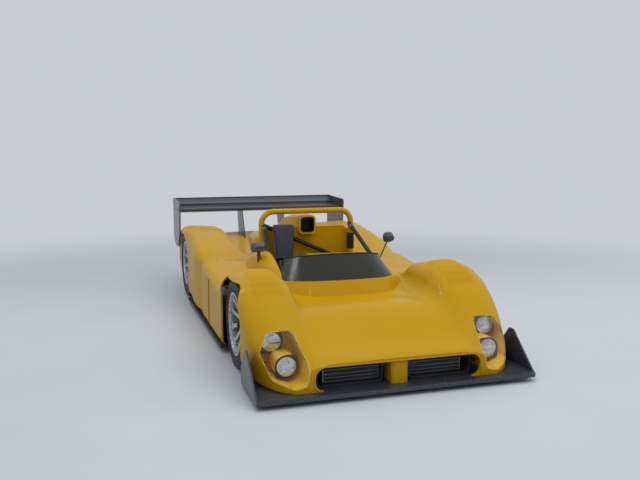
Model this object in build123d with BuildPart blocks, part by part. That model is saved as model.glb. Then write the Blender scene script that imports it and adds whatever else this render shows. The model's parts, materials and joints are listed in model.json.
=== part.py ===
from build123d import *
from collections import namedtuple
from math import cos, radians, sin, tan
import os

# Open sports prototype race car, in millimetres.
# The nose points to -Y, the car's left side to +X and up is +Z.
# The origin is on the ground, at the middle of the overall length and width.

os.makedirs("parts", exist_ok=True)

# Overall layout
OVERALL_LENGTH = 4560
WHEELBASE = 2740
FRONT_OVERHANG = 953
FRONT_AXLE_Y = FRONT_OVERHANG - OVERALL_LENGTH / 2
REAR_AXLE_Y = FRONT_AXLE_Y + WHEELBASE
REAR_END_Y = OVERALL_LENGTH / 2
SEAT_GAP = 0.3
RUNNING_GAP = 6

# Bodywork
SKIN = 12
NOSE_WALL = 22
BODY_BOTTOM_Z = 60
CLIP_REAR = 400
TAIL_FRONT = 1340
FRONT_SKIRT_Z = 150

# Floor and splitter
SPLITTER_HALF_WIDTH = 990
SPLITTER_DEPTH = 480
SPLITTER_THICKNESS = 28
FLOOR_Z = 40

# Wheels
FRONT_TYRE_RADIUS = 325
FRONT_TYRE_WIDTH = 310
REAR_TYRE_RADIUS = 355
REAR_TYRE_WIDTH = 350
TYRE_OUTER_X = 948
RIM_RADIUS = 232
KINGPIN_X = 742
ARM_LENGTH = 105
RACK_Z = 300
RACK_RADIUS = 11

# Cockpit
DRIVER_X = -240
COCKPIT_HALF_WIDTH = 462
COCKPIT_FRONT = 470
COCKPIT_REAR = 1330
HOOP_TUBE = 52
HOOP_HALF_WIDTH = 455
HOOP_TOP_Z = 1045
HOOP_Y = FRONT_AXLE_Y + 1300
BRACE_RADIUS = 19

# Rear wing
WING_HALF_SPAN = 950
ENDPLATE = 14
ENDPLATE_DEPTH = 600

# Sections of the bodywork, every y counted from the front axle.
# From the middle out: centre of the top, foot of the fender, inner and outer crest, side.
# The foot is the lowest line between the fender and what rises in the middle of the car.
Station = namedtuple(
    "Station",
    "y centre_z foot_x foot_z inner_x inner_z outer_x outer_z side_x side_z",
)
FRONT_STATIONS = [
    Station(-880, 240, 470, 236, 590, 218, 680, 160, 725, 105),
    Station(-800, 272, 500, 266, 622, 262, 765, 230, 828, 165),
    Station(-600, 352, 520, 344, 630, 406, 815, 412, 925, 322),
    Station(-360, 468, 518, 456, 618, 572, 845, 582, 970, 515),
    Station(-180, 482, 506, 472, 596, 664, 858, 670, 975, 612),
    Station(0, 462, 502, 466, 598, 694, 862, 702, 975, 652),
    Station(200, 472, 524, 480, 604, 676, 850, 686, 975, 640),
    Station(CLIP_REAR, 498, 548, 502, 612, 592, 830, 618, 975, 572),
]
MIDDLE_STATIONS = [
    Station(CLIP_REAR, 556, 548, 502, 612, 592, 830, 618, 975, 572),
    Station(600, 618, 556, 545, 640, 541, 820, 534, 975, 506),
    Station(850, 652, 558, 560, 668, 552, 825, 551, 975, 526),
    Station(1000, 652, 558, 572, 668, 565, 830, 562, 975, 540),
    Station(1200, 636, 550, 582, 650, 573, 835, 577, 975, 558),
    Station(TAIL_FRONT, 604, 520, 586, 580, 579, 840, 590, 975, 572),
]
# Edge of the cockpit beside each middle station: x and z of the edge and x of its foot,
# on the passenger's side, then on the driver's side, where it rises round the shoulder
COCKPIT_EDGES = [
    (500, 550, 548, 500, 550, 548),
    (500, 612, 556, 522, 655, 582),
    (500, 643, 558, 562, 722, 632),
    (500, 643, 558, 562, 716, 632),
    (500, 628, 550, 532, 652, 594),
    (486, 597, 520, 486, 597, 520),
]
TAIL_STATIONS = [
    Station(TAIL_FRONT, 604, 486, 589, 575, 580, 840, 590, 975, 572),
    Station(WHEELBASE - 1120, 588, 486, 577, 575, 614, 845, 638, 975, 612),
    Station(WHEELBASE - 700, 562, 496, 553, 562, 690, 858, 716, 975, 690),
    Station(WHEELBASE - 270, 562, 500, 552, 550, 732, 880, 759, 975, 740),
    Station(WHEELBASE, 572, 498, 562, 546, 734, 880, 760, 975, 740),
    Station(WHEELBASE + 180, 582, 496, 571, 550, 722, 872, 744, 958, 716),
    Station(WHEELBASE + 360, 592, 494, 582, 556, 704, 856, 718, 937, 682),
    Station(WHEELBASE + 640, 602, 492, 593, 570, 668, 838, 673, 930, 631),
]
# How far each corner's arc reaches along the shorter side beside it:
# centre, cockpit edge, foot, inner crest, outer crest, side, sill
CENTRE_SHARE = 0.42
EDGE_SHARE = 0.40
OUTER_SHARES = [0.42, 0.42, 0.45, 0.42, 0.15]


def car_y(from_front_axle):
    return FRONT_AXLE_Y + from_front_axle


def half_section(station, bottom_z, foot_x):
    """From the foot of the fender outwards and down to the sill."""
    return [
        (foot_x, station.foot_z),
        (station.inner_x, station.inner_z),
        (station.outer_x, station.outer_z),
        (station.side_x, station.side_z),
        (station.side_x, bottom_z),
    ]


def mirrored(points):
    """The points on the other side of the car, in the opposite order."""
    return [(-x, z) for x, z in reversed(points)]


def inset_points(points, depth):
    """The same outline with each side moved inwards, for points that run clockwise."""
    moved = []
    for index, corner in enumerate(points):
        before = (Vector(corner) - Vector(points[index - 1])).normalized()
        after = (Vector(points[(index + 1) % len(points)]) - Vector(corner)).normalized()
        normals = Vector(before.Y, -before.X) + Vector(after.Y, -after.X)
        reach = depth / (1 + before.dot(after))
        moved.append((corner[0] + normals.X * reach, corner[1] + normals.Y * reach))
    return moved


def corner_radii(points, shares):
    """The radius whose arc takes up the given share of the shorter side at each corner."""
    radii = []
    for index, corner in enumerate(points):
        before = Vector(points[index - 1]) - Vector(corner)
        after = Vector(points[(index + 1) % len(points)]) - Vector(corner)
        turn = 180 - before.get_angle(after)
        radii.append(shares[index] * min(before.length, after.length) / tan(radians(turn) / 2))
    return radii


def closed_section(y, right, left, shares, inset):
    """A cross section of the body from the middle of its top, clockwise, seen from the front."""
    points = right + mirrored(left[1:])
    if inset:
        points = inset_points(points, inset)
    all_shares = shares + shares[:0:-1]
    with BuildSketch(Plane.XZ.offset(-car_y(y))) as section:
        with BuildLine():
            FilletPolyline(*points, radius=corner_radii(points, all_shares), close=True)
        make_face()
    return section.sketch


def body_section(station, inset=0, y_shift=0):
    """One cross section of the bodywork, or of the hollow inside it, open at the bottom."""
    half = [(0, station.centre_z)]
    half += half_section(station, BODY_BOTTOM_Z - 2 * inset, station.foot_x)
    return closed_section(station.y + y_shift, half, half, [CENTRE_SHARE] + OUTER_SHARES, inset)


def cockpit_section(station, edges, inset=0):
    """A cross section past the cockpit, whose edge is higher on the driver's side."""
    halves = []
    for edge_x, edge_z, foot_x in (edges[:3], edges[3:]):
        half = [(0, station.centre_z), (edge_x, edge_z)]
        halves.append(half + half_section(station, BODY_BOTTOM_Z - 2 * inset, foot_x))
    return closed_section(station.y, *halves, [CENTRE_SHARE, EDGE_SHARE] + OUTER_SHARES, inset)


def box_between(low, high):
    """A box from its lowest to its highest corner."""
    size = [high[axis] - low[axis] for axis in range(3)]
    middle = [(high[axis] + low[axis]) / 2 for axis in range(3)]
    return Pos(*middle) * Box(*size, mode=Mode.PRIVATE)


def rod(start, end, radius):
    """A round bar from one point to another."""
    run = Vector(end) - Vector(start)
    with BuildPart() as bar:
        with BuildSketch(Plane(origin=start, z_dir=run)):
            Circle(radius)
        extrude(amount=run.length)
    return bar.part


def side_profile(points, x_low, x_high, radii=None):
    """A side-view outline, with y from the front axle, extruded across the car."""
    with BuildPart() as slab:
        with BuildSketch(Plane.YZ.offset(x_low)):
            with BuildLine():
                corners = [(car_y(y), z) for y, z in points]
                if radii:
                    FilletPolyline(*corners, radius=radii, close=True)
                else:
                    Polyline(*corners, close=True)
            make_face()
        extrude(amount=x_high - x_low)
    return slab.part


def front_profile(points, y_low, y_high, radii=None):
    """A front-view outline extruded along the car, its ends counted from the front axle."""
    with BuildPart() as slab:
        with BuildSketch(Plane.XZ.offset(-car_y(y_low))):
            with BuildLine():
                if radii:
                    FilletPolyline(*points, radius=radii, close=True)
                else:
                    Polyline(*points, close=True)
            make_face()
        extrude(amount=y_low - y_high)
    return slab.part


def plan_profile(points, z_low, z_high, radii=None):
    """A plan-view outline, with y from the front axle, extruded upwards."""
    with BuildPart() as slab:
        with BuildSketch(Plane.XY.offset(z_low)):
            with BuildLine():
                corners = [(x, car_y(y)) for x, y in points]
                if radii:
                    FilletPolyline(*corners, radius=radii, close=True)
                else:
                    Polyline(*corners, close=True)
            make_face()
        extrude(amount=z_high - z_low)
    return slab.part


def both_sides(points):
    """A left half outline followed by its mirror image, as one closed outline."""
    return points + [(-x, y) for x, y in reversed(points)]


def arch_cut(axle_y, profile, side):
    """A wheel opening: a side-view profile, cut outwards through the body's side."""
    with BuildPart() as cut:
        with BuildSketch(Plane.YZ.offset(side * ARCH_INNER_X)):
            with BuildLine():
                FilletPolyline(*[(axle_y + y, z) for y, z in profile["points"]],
                               radius=profile["radii"], close=True)
            make_face()
        extrude(amount=side * 400)
    return cut.part


def keep(builder, name):
    builder.part.label = name
    export_step(builder.part, f"parts/{name}.step")


# Front clip: nose, hood and front fenders in one hollow skin, with the inlets and lamp openings
INLET_HALF_WIDTH = 590
INLET_TOP_Z = 216
INLET_CORNER = 72
PYLON_TOP_WIDTH = 135
PYLON_FOOT_WIDTH = 115
PYLON_FRONT = -868
PYLON_DEPTH = 240
PYLON_EDGE = 36
ARCH_INNER_X = 880
FRONT_SKIRT_Z = 150
FRONT_ARCH = {
    "points": [(-490, 0), (-490, FRONT_SKIRT_Z), (-362, FRONT_SKIRT_Z), (-362, 420), (-200, 650),
               (200, 650), (362, 560), (362, 0)],
    "radii": [1, 30, 40, 150, 170, 200, 90, 1],
}
LAMP_OPENING = [(670, 410), (840, 400), (905, 280), (850, 130), (720, 82), (640, 100), (620, 230)]
LAMP_OPENING_REAR = -460
LAMP_COVER = 5
BUCKET_WALL = 5

# Cowl that carries the foot of the screen: its outline on two levels, and its top in side view
COWL_LOW = {"z": 440, "outline": [(591, 410), (586, 325), (372, 105), (0, 73)]}
COWL_HIGH = {"z": 600, "outline": [(476, 410), (462, 366), (318, 200), (0, 160)]}
COWL_TOP = [(160, 572), (377, 552), (460, 556)]

with BuildPart() as front_form:
    loft(sections=[body_section(station) for station in FRONT_STATIONS])

with BuildPart() as front_hollow:
    hollow = [body_section(FRONT_STATIONS[0], SKIN, NOSE_WALL)]
    hollow += [body_section(station, SKIN) for station in FRONT_STATIONS[1:]]
    loft(sections=hollow)


def cowl_shape(inset):
    """The cowl, or the hollow inside it: wide at its foot and trimmed to its top."""
    with BuildPart() as shape:
        sections = []
        for level in (COWL_LOW, COWL_HIGH):
            half = [(x - inset if x else 0, car_y(y) + inset) for x, y in level["outline"]]
            corners = half + [(-x, y) for x, y in reversed(half[:-1])]
            shares = [0.01, 0.45, 0.45, 0.45, 0.45, 0.45, 0.01]
            with BuildSketch(Plane.XY.offset(level["z"])) as outline:
                with BuildLine():
                    FilletPolyline(*corners, radius=corner_radii(corners, shares), close=True)
                make_face()
            sections.append(outline.sketch)
        loft(sections=sections)
        lid = [(0, 300), (0, COWL_TOP[0][1] - inset)] + [(y, z - inset) for y, z in COWL_TOP]
        lid += [(COWL_TOP[-1][0], 300)]
        add(side_profile(lid, -700, 700), mode=Mode.INTERSECT)
        add(box_between((-700, car_y(0), 300), (700, car_y(CLIP_REAR), 700)), mode=Mode.INTERSECT)
    return shape.part


cowl_form = cowl_shape(0)


def lamp_prism(side, shrink, y_rear):
    """The lamp opening as seen from the front, run back into the fender."""
    points = inset_points(LAMP_OPENING, shrink)
    radii = [28] * len(points)
    return front_profile([(side * x, z) for x, z in points], -930, y_rear, radii)


with BuildPart() as pylon:
    half_top = PYLON_TOP_WIDTH / 2
    half_foot = PYLON_FOOT_WIDTH / 2
    pylon_rear = PYLON_FRONT + PYLON_DEPTH
    add(front_profile([(-half_foot, BODY_BOTTOM_Z), (-half_top, 300), (half_top, 300),
                       (half_foot, BODY_BOTTOM_Z)], PYLON_FRONT, pylon_rear))
    add(plan_profile([(-half_top, PYLON_FRONT), (half_top, PYLON_FRONT), (half_top, pylon_rear),
                      (-half_top, pylon_rear)], 0, 400, [PYLON_EDGE, PYLON_EDGE, 1, 1]),
        mode=Mode.INTERSECT)
    add(front_form.part, mode=Mode.INTERSECT)

with BuildPart() as front_clip:
    add(front_form.part)
    add(cowl_form)
    add(front_hollow.part, mode=Mode.SUBTRACT)
    add(cowl_shape(SKIN), mode=Mode.SUBTRACT)
    inlet = [(-INLET_HALF_WIDTH, BODY_BOTTOM_Z - 1), (-INLET_HALF_WIDTH, INLET_TOP_Z),
             (INLET_HALF_WIDTH, INLET_TOP_Z), (INLET_HALF_WIDTH, BODY_BOTTOM_Z - 1)]
    add(front_profile(inlet, -920, -820, [INLET_CORNER] * 4), mode=Mode.SUBTRACT)
    add(pylon.part)
    for side in (1, -1):
        add(arch_cut(FRONT_AXLE_Y, FRONT_ARCH, side), mode=Mode.SUBTRACT)
        add(lamp_prism(side, 0, LAMP_OPENING_REAR), mode=Mode.SUBTRACT)
keep(front_clip, "front_clip")

with BuildPart() as lamp_windows:
    for side in (1, -1):
        add(lamp_prism(side, SEAT_GAP, LAMP_OPENING_REAR))

with BuildPart() as headlamp_covers:
    add(front_form.part)
    loft(sections=[body_section(station, LAMP_COVER) for station in FRONT_STATIONS],
         mode=Mode.SUBTRACT)
    add(lamp_windows.part, mode=Mode.INTERSECT)
keep(headlamp_covers, "headlamp_covers")

# Lamp buckets behind the covers, with a square housing for each of the two round lamps
LAMP_RADIUS = 62
LAMP_BOX = 140
LAMP_BOX_CORNER = 42
LAMP_LENS = 24
LAMPS = [
    # x, z, y of the lens
    (800, 325, -555),
    (738, 196, -715),
]
with BuildPart() as behind_covers:
    loft(sections=[body_section(station, LAMP_COVER + 2) for station in FRONT_STATIONS])
with BuildPart() as lamp_housings:
    bucket_rear = LAMP_OPENING_REAR - 4
    for side in (1, -1):
        add(lamp_prism(side, SEAT_GAP, bucket_rear))
        add(lamp_prism(side, SEAT_GAP + BUCKET_WALL, bucket_rear - BUCKET_WALL), mode=Mode.SUBTRACT)
        for x, z, y in LAMPS:
            with BuildSketch(Plane.XZ.offset(-car_y(y))):
                with Locations((side * x, z)):
                    RectangleRounded(LAMP_BOX, LAMP_BOX, LAMP_BOX_CORNER)
            extrude(amount=y - bucket_rear)
            add(rod((side * x, car_y(y + LAMP_LENS), z), (side * x, car_y(y - 1), z),
                    LAMP_RADIUS), mode=Mode.SUBTRACT)
    add(lamp_windows.part, mode=Mode.INTERSECT)
    add(behind_covers.part, mode=Mode.INTERSECT)
keep(lamp_housings, "lamp_housings")

with BuildPart() as headlamps:
    for side in (1, -1):
        for x, z, y in LAMPS:
            add(rod((side * x, car_y(y + LAMP_LENS - SEAT_GAP), z), (side * x, car_y(y + 2), z),
                    LAMP_RADIUS - SEAT_GAP))
keep(headlamps, "headlamps")

# Ducts behind the nose inlets, each with its core
DUCT = {"x_in": 92, "x_out": 560, "z_low": BODY_BOTTOM_Z + SEAT_GAP, "z_high": 206,
        "y_front": -790, "y_rear": -600}
DUCT_WALL = 10
with BuildPart() as nose_ducts:
    for side in (1, -1):
        x_low, x_high = sorted((side * DUCT["x_in"], side * DUCT["x_out"]))
        outer = [(x_low, DUCT["z_low"]), (x_low, DUCT["z_high"]),
                 (x_high, DUCT["z_high"]), (x_high, DUCT["z_low"])]
        add(front_profile(outer, DUCT["y_front"], DUCT["y_rear"], [30] * 4))
        inner = inset_points(outer, DUCT_WALL)
        add(front_profile(inner, DUCT["y_front"] - 1, DUCT["y_rear"] - 30, [22] * 4),
            mode=Mode.SUBTRACT)
keep(nose_ducts, "nose_ducts")

# Splitter plate with an upright fence at each end
FENCE = 12
with BuildPart() as front_splitter:
    splitter_rear = SPLITTER_DEPTH - FRONT_OVERHANG
    half = [(SPLITTER_HALF_WIDTH, -FRONT_OVERHANG), (SPLITTER_HALF_WIDTH, splitter_rear)]
    add(plan_profile(both_sides(half), BODY_BOTTOM_Z - SPLITTER_THICKNESS, BODY_BOTTOM_Z,
                     [24, 6, 6, 24]))
    for side in (1, -1):
        x_low, x_high = sorted((side * (SPLITTER_HALF_WIDTH - FENCE), side * SPLITTER_HALF_WIDTH))
        add(side_profile([(-925, BODY_BOTTOM_Z - 5), (-650, 300), (-600, 300), (splitter_rear, 150),
                          (splitter_rear, BODY_BOTTOM_Z - 5)], x_low, x_high, [1, 12, 24, 12, 1]))
keep(front_splitter, "front_splitter")

# Flat floor, cut away round the wheels
FLOOR_FRONT_HALF_WIDTH = 340
FLOOR_REAR_HALF_WIDTH = 500
FLOOR_REAR = WHEELBASE + 180
with BuildPart() as floor_tray:
    half = [(FLOOR_FRONT_HALF_WIDTH, splitter_rear),
            (FLOOR_FRONT_HALF_WIDTH, CLIP_REAR - 5),
            (975, CLIP_REAR - 5),
            (975, WHEELBASE - 410),
            (FLOOR_REAR_HALF_WIDTH, WHEELBASE - 410),
            (FLOOR_REAR_HALF_WIDTH, FLOOR_REAR)]
    add(plan_profile(both_sides(half), FLOOR_Z, BODY_BOTTOM_Z))
keep(floor_tray, "floor_tray")

# Middle of the body: cockpit surround between two side pods
POD_INNER_X = 645
OPENING_CORNER = 20
POD_STEP = 8
POD_STEP_FRONT = 450
POD_STEP_REAR = 1000
TUB_TOP_Z = 578

with BuildPart() as middle_form:
    loft(sections=[cockpit_section(*row) for row in zip(MIDDLE_STATIONS, COCKPIT_EDGES)])

with BuildPart() as middle_body:
    add(middle_form.part)
    loft(sections=[cockpit_section(*row, SKIN) for row in zip(MIDDLE_STATIONS, COCKPIT_EDGES)],
         mode=Mode.SUBTRACT)


def cockpit_opening(shrink, x_low):
    half_width = COCKPIT_HALF_WIDTH - shrink
    with BuildPart() as opening:
        with BuildSketch(Plane.XY.offset(400)):
            with Locations((0, car_y((COCKPIT_FRONT + COCKPIT_REAR) / 2))):
                RectangleRounded(2 * half_width, COCKPIT_REAR - COCKPIT_FRONT - 2 * shrink, OPENING_CORNER)
        extrude(amount=400)
        add(box_between((x_low, car_y(0), 300), (1000, car_y(2000), 900)), mode=Mode.INTERSECT)
    return opening.part


# The surround's edge turns down inside the opening and stands on the tub
with BuildPart() as edge_flange:
    add(cockpit_opening(-SKIN, -1000))
    add(box_between((-1000, car_y(0), 0), (1000, car_y(2000), TUB_TOP_Z + SEAT_GAP)),
        mode=Mode.SUBTRACT)
    add(middle_form.part, mode=Mode.INTERSECT)

with BuildPart() as cockpit_surround:
    add(middle_body.part)
    add(box_between((-POD_INNER_X, car_y(CLIP_REAR), 480),
                    (POD_INNER_X, car_y(TAIL_FRONT), 800)), mode=Mode.INTERSECT)
    add(edge_flange.part)
    add(cockpit_opening(0, -1000), mode=Mode.SUBTRACT)
keep(cockpit_surround, "cockpit_surround")

TONNEAU_EDGE_X = -95
with BuildPart() as tonneau:
    add(middle_body.part)
    add(cockpit_opening(SEAT_GAP, TONNEAU_EDGE_X), mode=Mode.INTERSECT)
    add(box_between((-500, car_y(1240), 0), (500, car_y(2000), 900)), mode=Mode.SUBTRACT)
keep(tonneau, "tonneau")

with BuildPart() as side_pods:
    add(middle_body.part)
    add(box_between((-POD_INNER_X - SEAT_GAP, car_y(CLIP_REAR) - 1, 0),
                    (POD_INNER_X + SEAT_GAP, car_y(TAIL_FRONT) + 1, 800)), mode=Mode.SUBTRACT)
    for side in (1, -1):
        outer_x = side * MIDDLE_STATIONS[0].side_x
        wedge = [(outer_x, POD_STEP_FRONT), (outer_x - side * POD_STEP, POD_STEP_REAR),
                 (outer_x + side * POD_STEP, POD_STEP_REAR), (outer_x + side * POD_STEP, POD_STEP_FRONT)]
        add(plan_profile(wedge, BODY_BOTTOM_Z + 40, 490), mode=Mode.SUBTRACT)
keep(side_pods, "side_pods")

# Tail clip, lifted behind the rear wheels, with its lamps in the rear wall
TAIL_WALL = 14
TAIL_END = TAIL_STATIONS[-1].y
REAR_ARCH = {
    "points": [(-405, 0), (-405, 480), (-230, 690), (230, 690), (405, 480), (405, 0)],
    "radii": [1, 170, 190, 190, 170, 1],
}
ENGINE_BAY = [(400, TAIL_FRONT - 5), (400, TAIL_FRONT + 60), (250, 2450), (150, 3050)]
TAIL_LAMP_RADIUS = 42
TAIL_LAMPS = [
    # x, z
    (640, 520),
    (760, 520),
]
EXHAUST_RADIUS = 38
EXHAUST_X = 262
EXHAUST_Z = 500

with BuildPart() as tail_form:
    loft(sections=[body_section(station) for station in TAIL_STATIONS])

with BuildPart() as tail_clip:
    add(tail_form.part)
    hollow = [body_section(station, SKIN) for station in TAIL_STATIONS[:-1]]
    hollow += [body_section(TAIL_STATIONS[-1], SKIN, -TAIL_WALL)]
    loft(sections=hollow, mode=Mode.SUBTRACT)
    add(plan_profile(both_sides(ENGINE_BAY), 480, 700), mode=Mode.SUBTRACT)
    add(side_profile([(WHEELBASE + 300, 0), (WHEELBASE + 300, 150), (TAIL_END + 50, 340),
                      (TAIL_END + 50, 0)], -1000, 1000), mode=Mode.SUBTRACT)
    add(box_between((-520, car_y(TAIL_END) - 60, 0), (520, car_y(TAIL_END) + 10, 430)),
        mode=Mode.SUBTRACT)
    for side in (1, -1):
        add(arch_cut(REAR_AXLE_Y, REAR_ARCH, side), mode=Mode.SUBTRACT)
        add(rod((side * EXHAUST_X, car_y(TAIL_END) - 60, EXHAUST_Z),
                (side * EXHAUST_X, car_y(TAIL_END) + 10, EXHAUST_Z),
                EXHAUST_RADIUS + RUNNING_GAP), mode=Mode.SUBTRACT)
        for x, z in TAIL_LAMPS:
            add(rod((side * x, car_y(TAIL_END) - 60, z), (side * x, car_y(TAIL_END) + 10, z),
                    TAIL_LAMP_RADIUS), mode=Mode.SUBTRACT)
keep(tail_clip, "tail_clip")

with BuildPart() as tail_lamps:
    for side in (1, -1):
        for x, z in TAIL_LAMPS:
            add(rod((side * x, car_y(TAIL_END) - TAIL_WALL - 20, z), (side * x, car_y(TAIL_END) + 6, z),
                    TAIL_LAMP_RADIUS - SEAT_GAP))
keep(tail_lamps, "tail_lamps")

# Air intake with its mouth inside the roll hoop, let into the engine cover behind it
INTAKE_STATIONS = [
    # y from the front axle, half width, low z, high z
    (1276, 79, 806, 976),
    (1420, 84, 780, 974),
    (1750, 82, 700, 934),
    (2100, 64, 640, 846),
    (2400, 42, 600, 735),
]
INTAKE_MOUTH_HALF_WIDTH = 66
INTAKE_MOUTH_DEPTH = 240
INTAKE_WALL = 13
INTAKE_CORNER = 34


def intake_section(y, half_width, low_z, high_z, grow=0):
    with BuildSketch(Plane.XZ.offset(-car_y(y))) as section:
        with Locations((0, (low_z + high_z) / 2)):
            RectangleRounded(2 * (half_width + grow), high_z - low_z + 2 * grow, INTAKE_CORNER + grow)
    return section.sketch


with BuildPart() as intake_scoop:
    loft(sections=[intake_section(*row) for row in INTAKE_STATIONS])
    mouth_y = INTAKE_STATIONS[0][0]
    mouth_low = INTAKE_STATIONS[0][2] + INTAKE_WALL
    mouth_high = INTAKE_STATIONS[0][3] - INTAKE_WALL
    loft(sections=[intake_section(mouth_y - 1, INTAKE_MOUTH_HALF_WIDTH, mouth_low, mouth_high),
                   intake_section(mouth_y + INTAKE_MOUTH_DEPTH, INTAKE_MOUTH_HALF_WIDTH,
                                  mouth_low, mouth_high - 12)], mode=Mode.SUBTRACT)
keep(intake_scoop, "intake_scoop")

# Engine cover: a tapered hump behind the roll hoop, open below
COVER_STATIONS = [
    # y from the front axle, half width, top z, height of the side's corner below it, flat share
    (TAIL_FRONT + 5, 445, 868, 62, 0.84),
    (1500, 434, 862, 74, 0.80),
    (1900, 375, 806, 104, 0.68),
    (2450, 285, 716, 90, 0.62),
    (3080, 175, 632, 60, 0.60),
]
COVER_SKIN = 10
COVER_FOOT_Z = 480


def cover_section(y, half_width, top_z, drop, flat_share, inset=0):
    with BuildSketch(Plane.XZ.offset(-car_y(y))) as section:
        with BuildLine():
            points = [(half_width - inset, COVER_FOOT_Z - inset),
                      (half_width - inset, top_z - drop - inset / 2),
                      (half_width * flat_share - inset / 2, top_z - inset)]
            closed = both_sides(points)
            shares = [0.05, 0.45, 0.45, 0.45, 0.45, 0.05]
            FilletPolyline(*closed, radius=corner_radii(closed, shares), close=True)
        make_face()
    return section.sketch


with BuildPart() as engine_cover:
    loft(sections=[cover_section(*row) for row in COVER_STATIONS])
    first, *between, last = COVER_STATIONS
    inner = [cover_section(first[0] + COVER_SKIN, *first[1:], COVER_SKIN)]
    inner += [cover_section(*row, COVER_SKIN) for row in between]
    inner += [cover_section(last[0] - COVER_SKIN, *last[1:], COVER_SKIN)]
    loft(sections=inner, mode=Mode.SUBTRACT)
    add(tail_form.part, mode=Mode.SUBTRACT)
    add(box_between((-600, car_y(0), 0), (600, car_y(4000), 520)), mode=Mode.SUBTRACT)
    loft(sections=[intake_section(*row, SEAT_GAP) for row in INTAKE_STATIONS], mode=Mode.SUBTRACT)
keep(engine_cover, "engine_cover")

# Carbon tub: a narrow foot box opening into the cockpit, with walls all round
TUB_FRONT = -430
TUB_REAR = TAIL_FRONT
FOOTBOX_HALF_WIDTH = 335
TUB_HALF_WIDTH = 486
TUB_WALL = 30
TUB_FLOOR_Z = BODY_BOTTOM_Z + TUB_WALL
TUB_BULKHEAD = 72
TUB_PLAN = [(FOOTBOX_HALF_WIDTH - 60, TUB_FRONT), (FOOTBOX_HALF_WIDTH, TUB_FRONT + 120),
            (FOOTBOX_HALF_WIDTH, 380), (TUB_HALF_WIDTH, 560), (TUB_HALF_WIDTH, TUB_REAR)]
TUB_SIDE = [(TUB_FRONT, BODY_BOTTOM_Z), (TUB_FRONT, 330), (0, 436), (150, 440), (300, 515),
            (COCKPIT_FRONT, 538), (640, TUB_TOP_Z), (TUB_REAR, TUB_TOP_Z), (TUB_REAR, BODY_BOTTOM_Z)]
TUB_HOLLOW_SIDE = [(-300, 0), (-300, 330), (0, 408), (150, 412), (300, 487), (COCKPIT_FRONT, 510),
                   (COCKPIT_FRONT, 800), (TUB_REAR, 800), (TUB_REAR, 0)]
with BuildPart() as tub_hollow:
    hollow_plan = [(FOOTBOX_HALF_WIDTH - 90, -260), (FOOTBOX_HALF_WIDTH - TUB_WALL, -180),
                   (FOOTBOX_HALF_WIDTH - TUB_WALL, 395),
                   (TUB_HALF_WIDTH - TUB_WALL, 575), (TUB_HALF_WIDTH - TUB_WALL, TUB_REAR - TUB_BULKHEAD)]
    add(plan_profile(both_sides(hollow_plan), TUB_FLOOR_Z, 700))
    add(side_profile(TUB_HOLLOW_SIDE, -600, 600), mode=Mode.INTERSECT)

with BuildPart() as monocoque:
    add(plan_profile(both_sides(TUB_PLAN), BODY_BOTTOM_Z, 640))
    add(side_profile(TUB_SIDE, -600, 600), mode=Mode.INTERSECT)
    add(tub_hollow.part, mode=Mode.SUBTRACT)
    add(rod((-600, car_y(-ARM_LENGTH), RACK_Z), (600, car_y(-ARM_LENGTH), RACK_Z),
            RACK_RADIUS + SEAT_GAP), mode=Mode.SUBTRACT)
keep(monocoque, "monocoque")

# Seat and headrest
SEAT_HALF_WIDTH = 205
SEAT_SHELL = 22
with BuildPart() as seat:
    low = DRIVER_X - SEAT_HALF_WIDTH
    high = DRIVER_X + SEAT_HALF_WIDTH
    add(side_profile([(690, TUB_FLOOR_Z + SEAT_GAP), (690, 300), (800, 330), (1050, 380), (1110, 560),
                      (1265, 575), (1265, 400), (1130, TUB_FLOOR_Z + SEAT_GAP)], low, high,
                     [10, 30, 60, 80, 60, 20, 60, 10]))
    add(side_profile([(640, 175), (800, 150), (1010, 125), (1150, 640), (900, 700), (600, 600)],
                     low + SEAT_SHELL, high - SEAT_SHELL, [1, 40, 110, 1, 1, 1]),
        mode=Mode.SUBTRACT)
keep(seat, "seat")

HEADREST = {"x_low": -337, "x_high": -141, "z_low": 600, "z_high": 905, "front": 1195, "lean": 36}
with BuildPart() as headrest:
    back = HOOP_Y - FRONT_AXLE_Y - BRACE_RADIUS - SEAT_GAP
    add(side_profile([(HEADREST["front"] - HEADREST["lean"] / 3, HEADREST["z_low"]),
                      (HEADREST["front"] + HEADREST["lean"] * 2 / 3, HEADREST["z_high"]),
                      (back, HEADREST["z_high"]), (back, HEADREST["z_low"])],
                     HEADREST["x_low"], HEADREST["x_high"], [20, 26, 10, 10]))
keep(headrest, "headrest")

# Steering wheel on its sloping column
COLUMN_FOOT = Vector(DRIVER_X, car_y(300), 395)
WHEEL_CENTRE = Vector(DRIVER_X, car_y(770), 528)
COLUMN_RADIUS = 13
STEERING_WHEEL_RADIUS = 128
GRIP_RADIUS = 14
COLUMN_RUN = WHEEL_CENTRE - COLUMN_FOOT
with BuildPart() as steering_wheel:
    wheel_plane = Plane(origin=WHEEL_CENTRE, x_dir=(1, 0, 0), z_dir=COLUMN_RUN)
    with Locations(wheel_plane):
        Torus(STEERING_WHEEL_RADIUS, GRIP_RADIUS)
        Cylinder(38, 26)
    with BuildSketch(wheel_plane.offset(-6)):
        Rectangle(2 * STEERING_WHEEL_RADIUS, 34)
        with Locations((0, -STEERING_WHEEL_RADIUS / 2)):
            Rectangle(34, STEERING_WHEEL_RADIUS)
    extrude(amount=12)
    add(rod(COLUMN_FOOT, WHEEL_CENTRE, COLUMN_RADIUS))
keep(steering_wheel, "steering_wheel")

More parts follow.
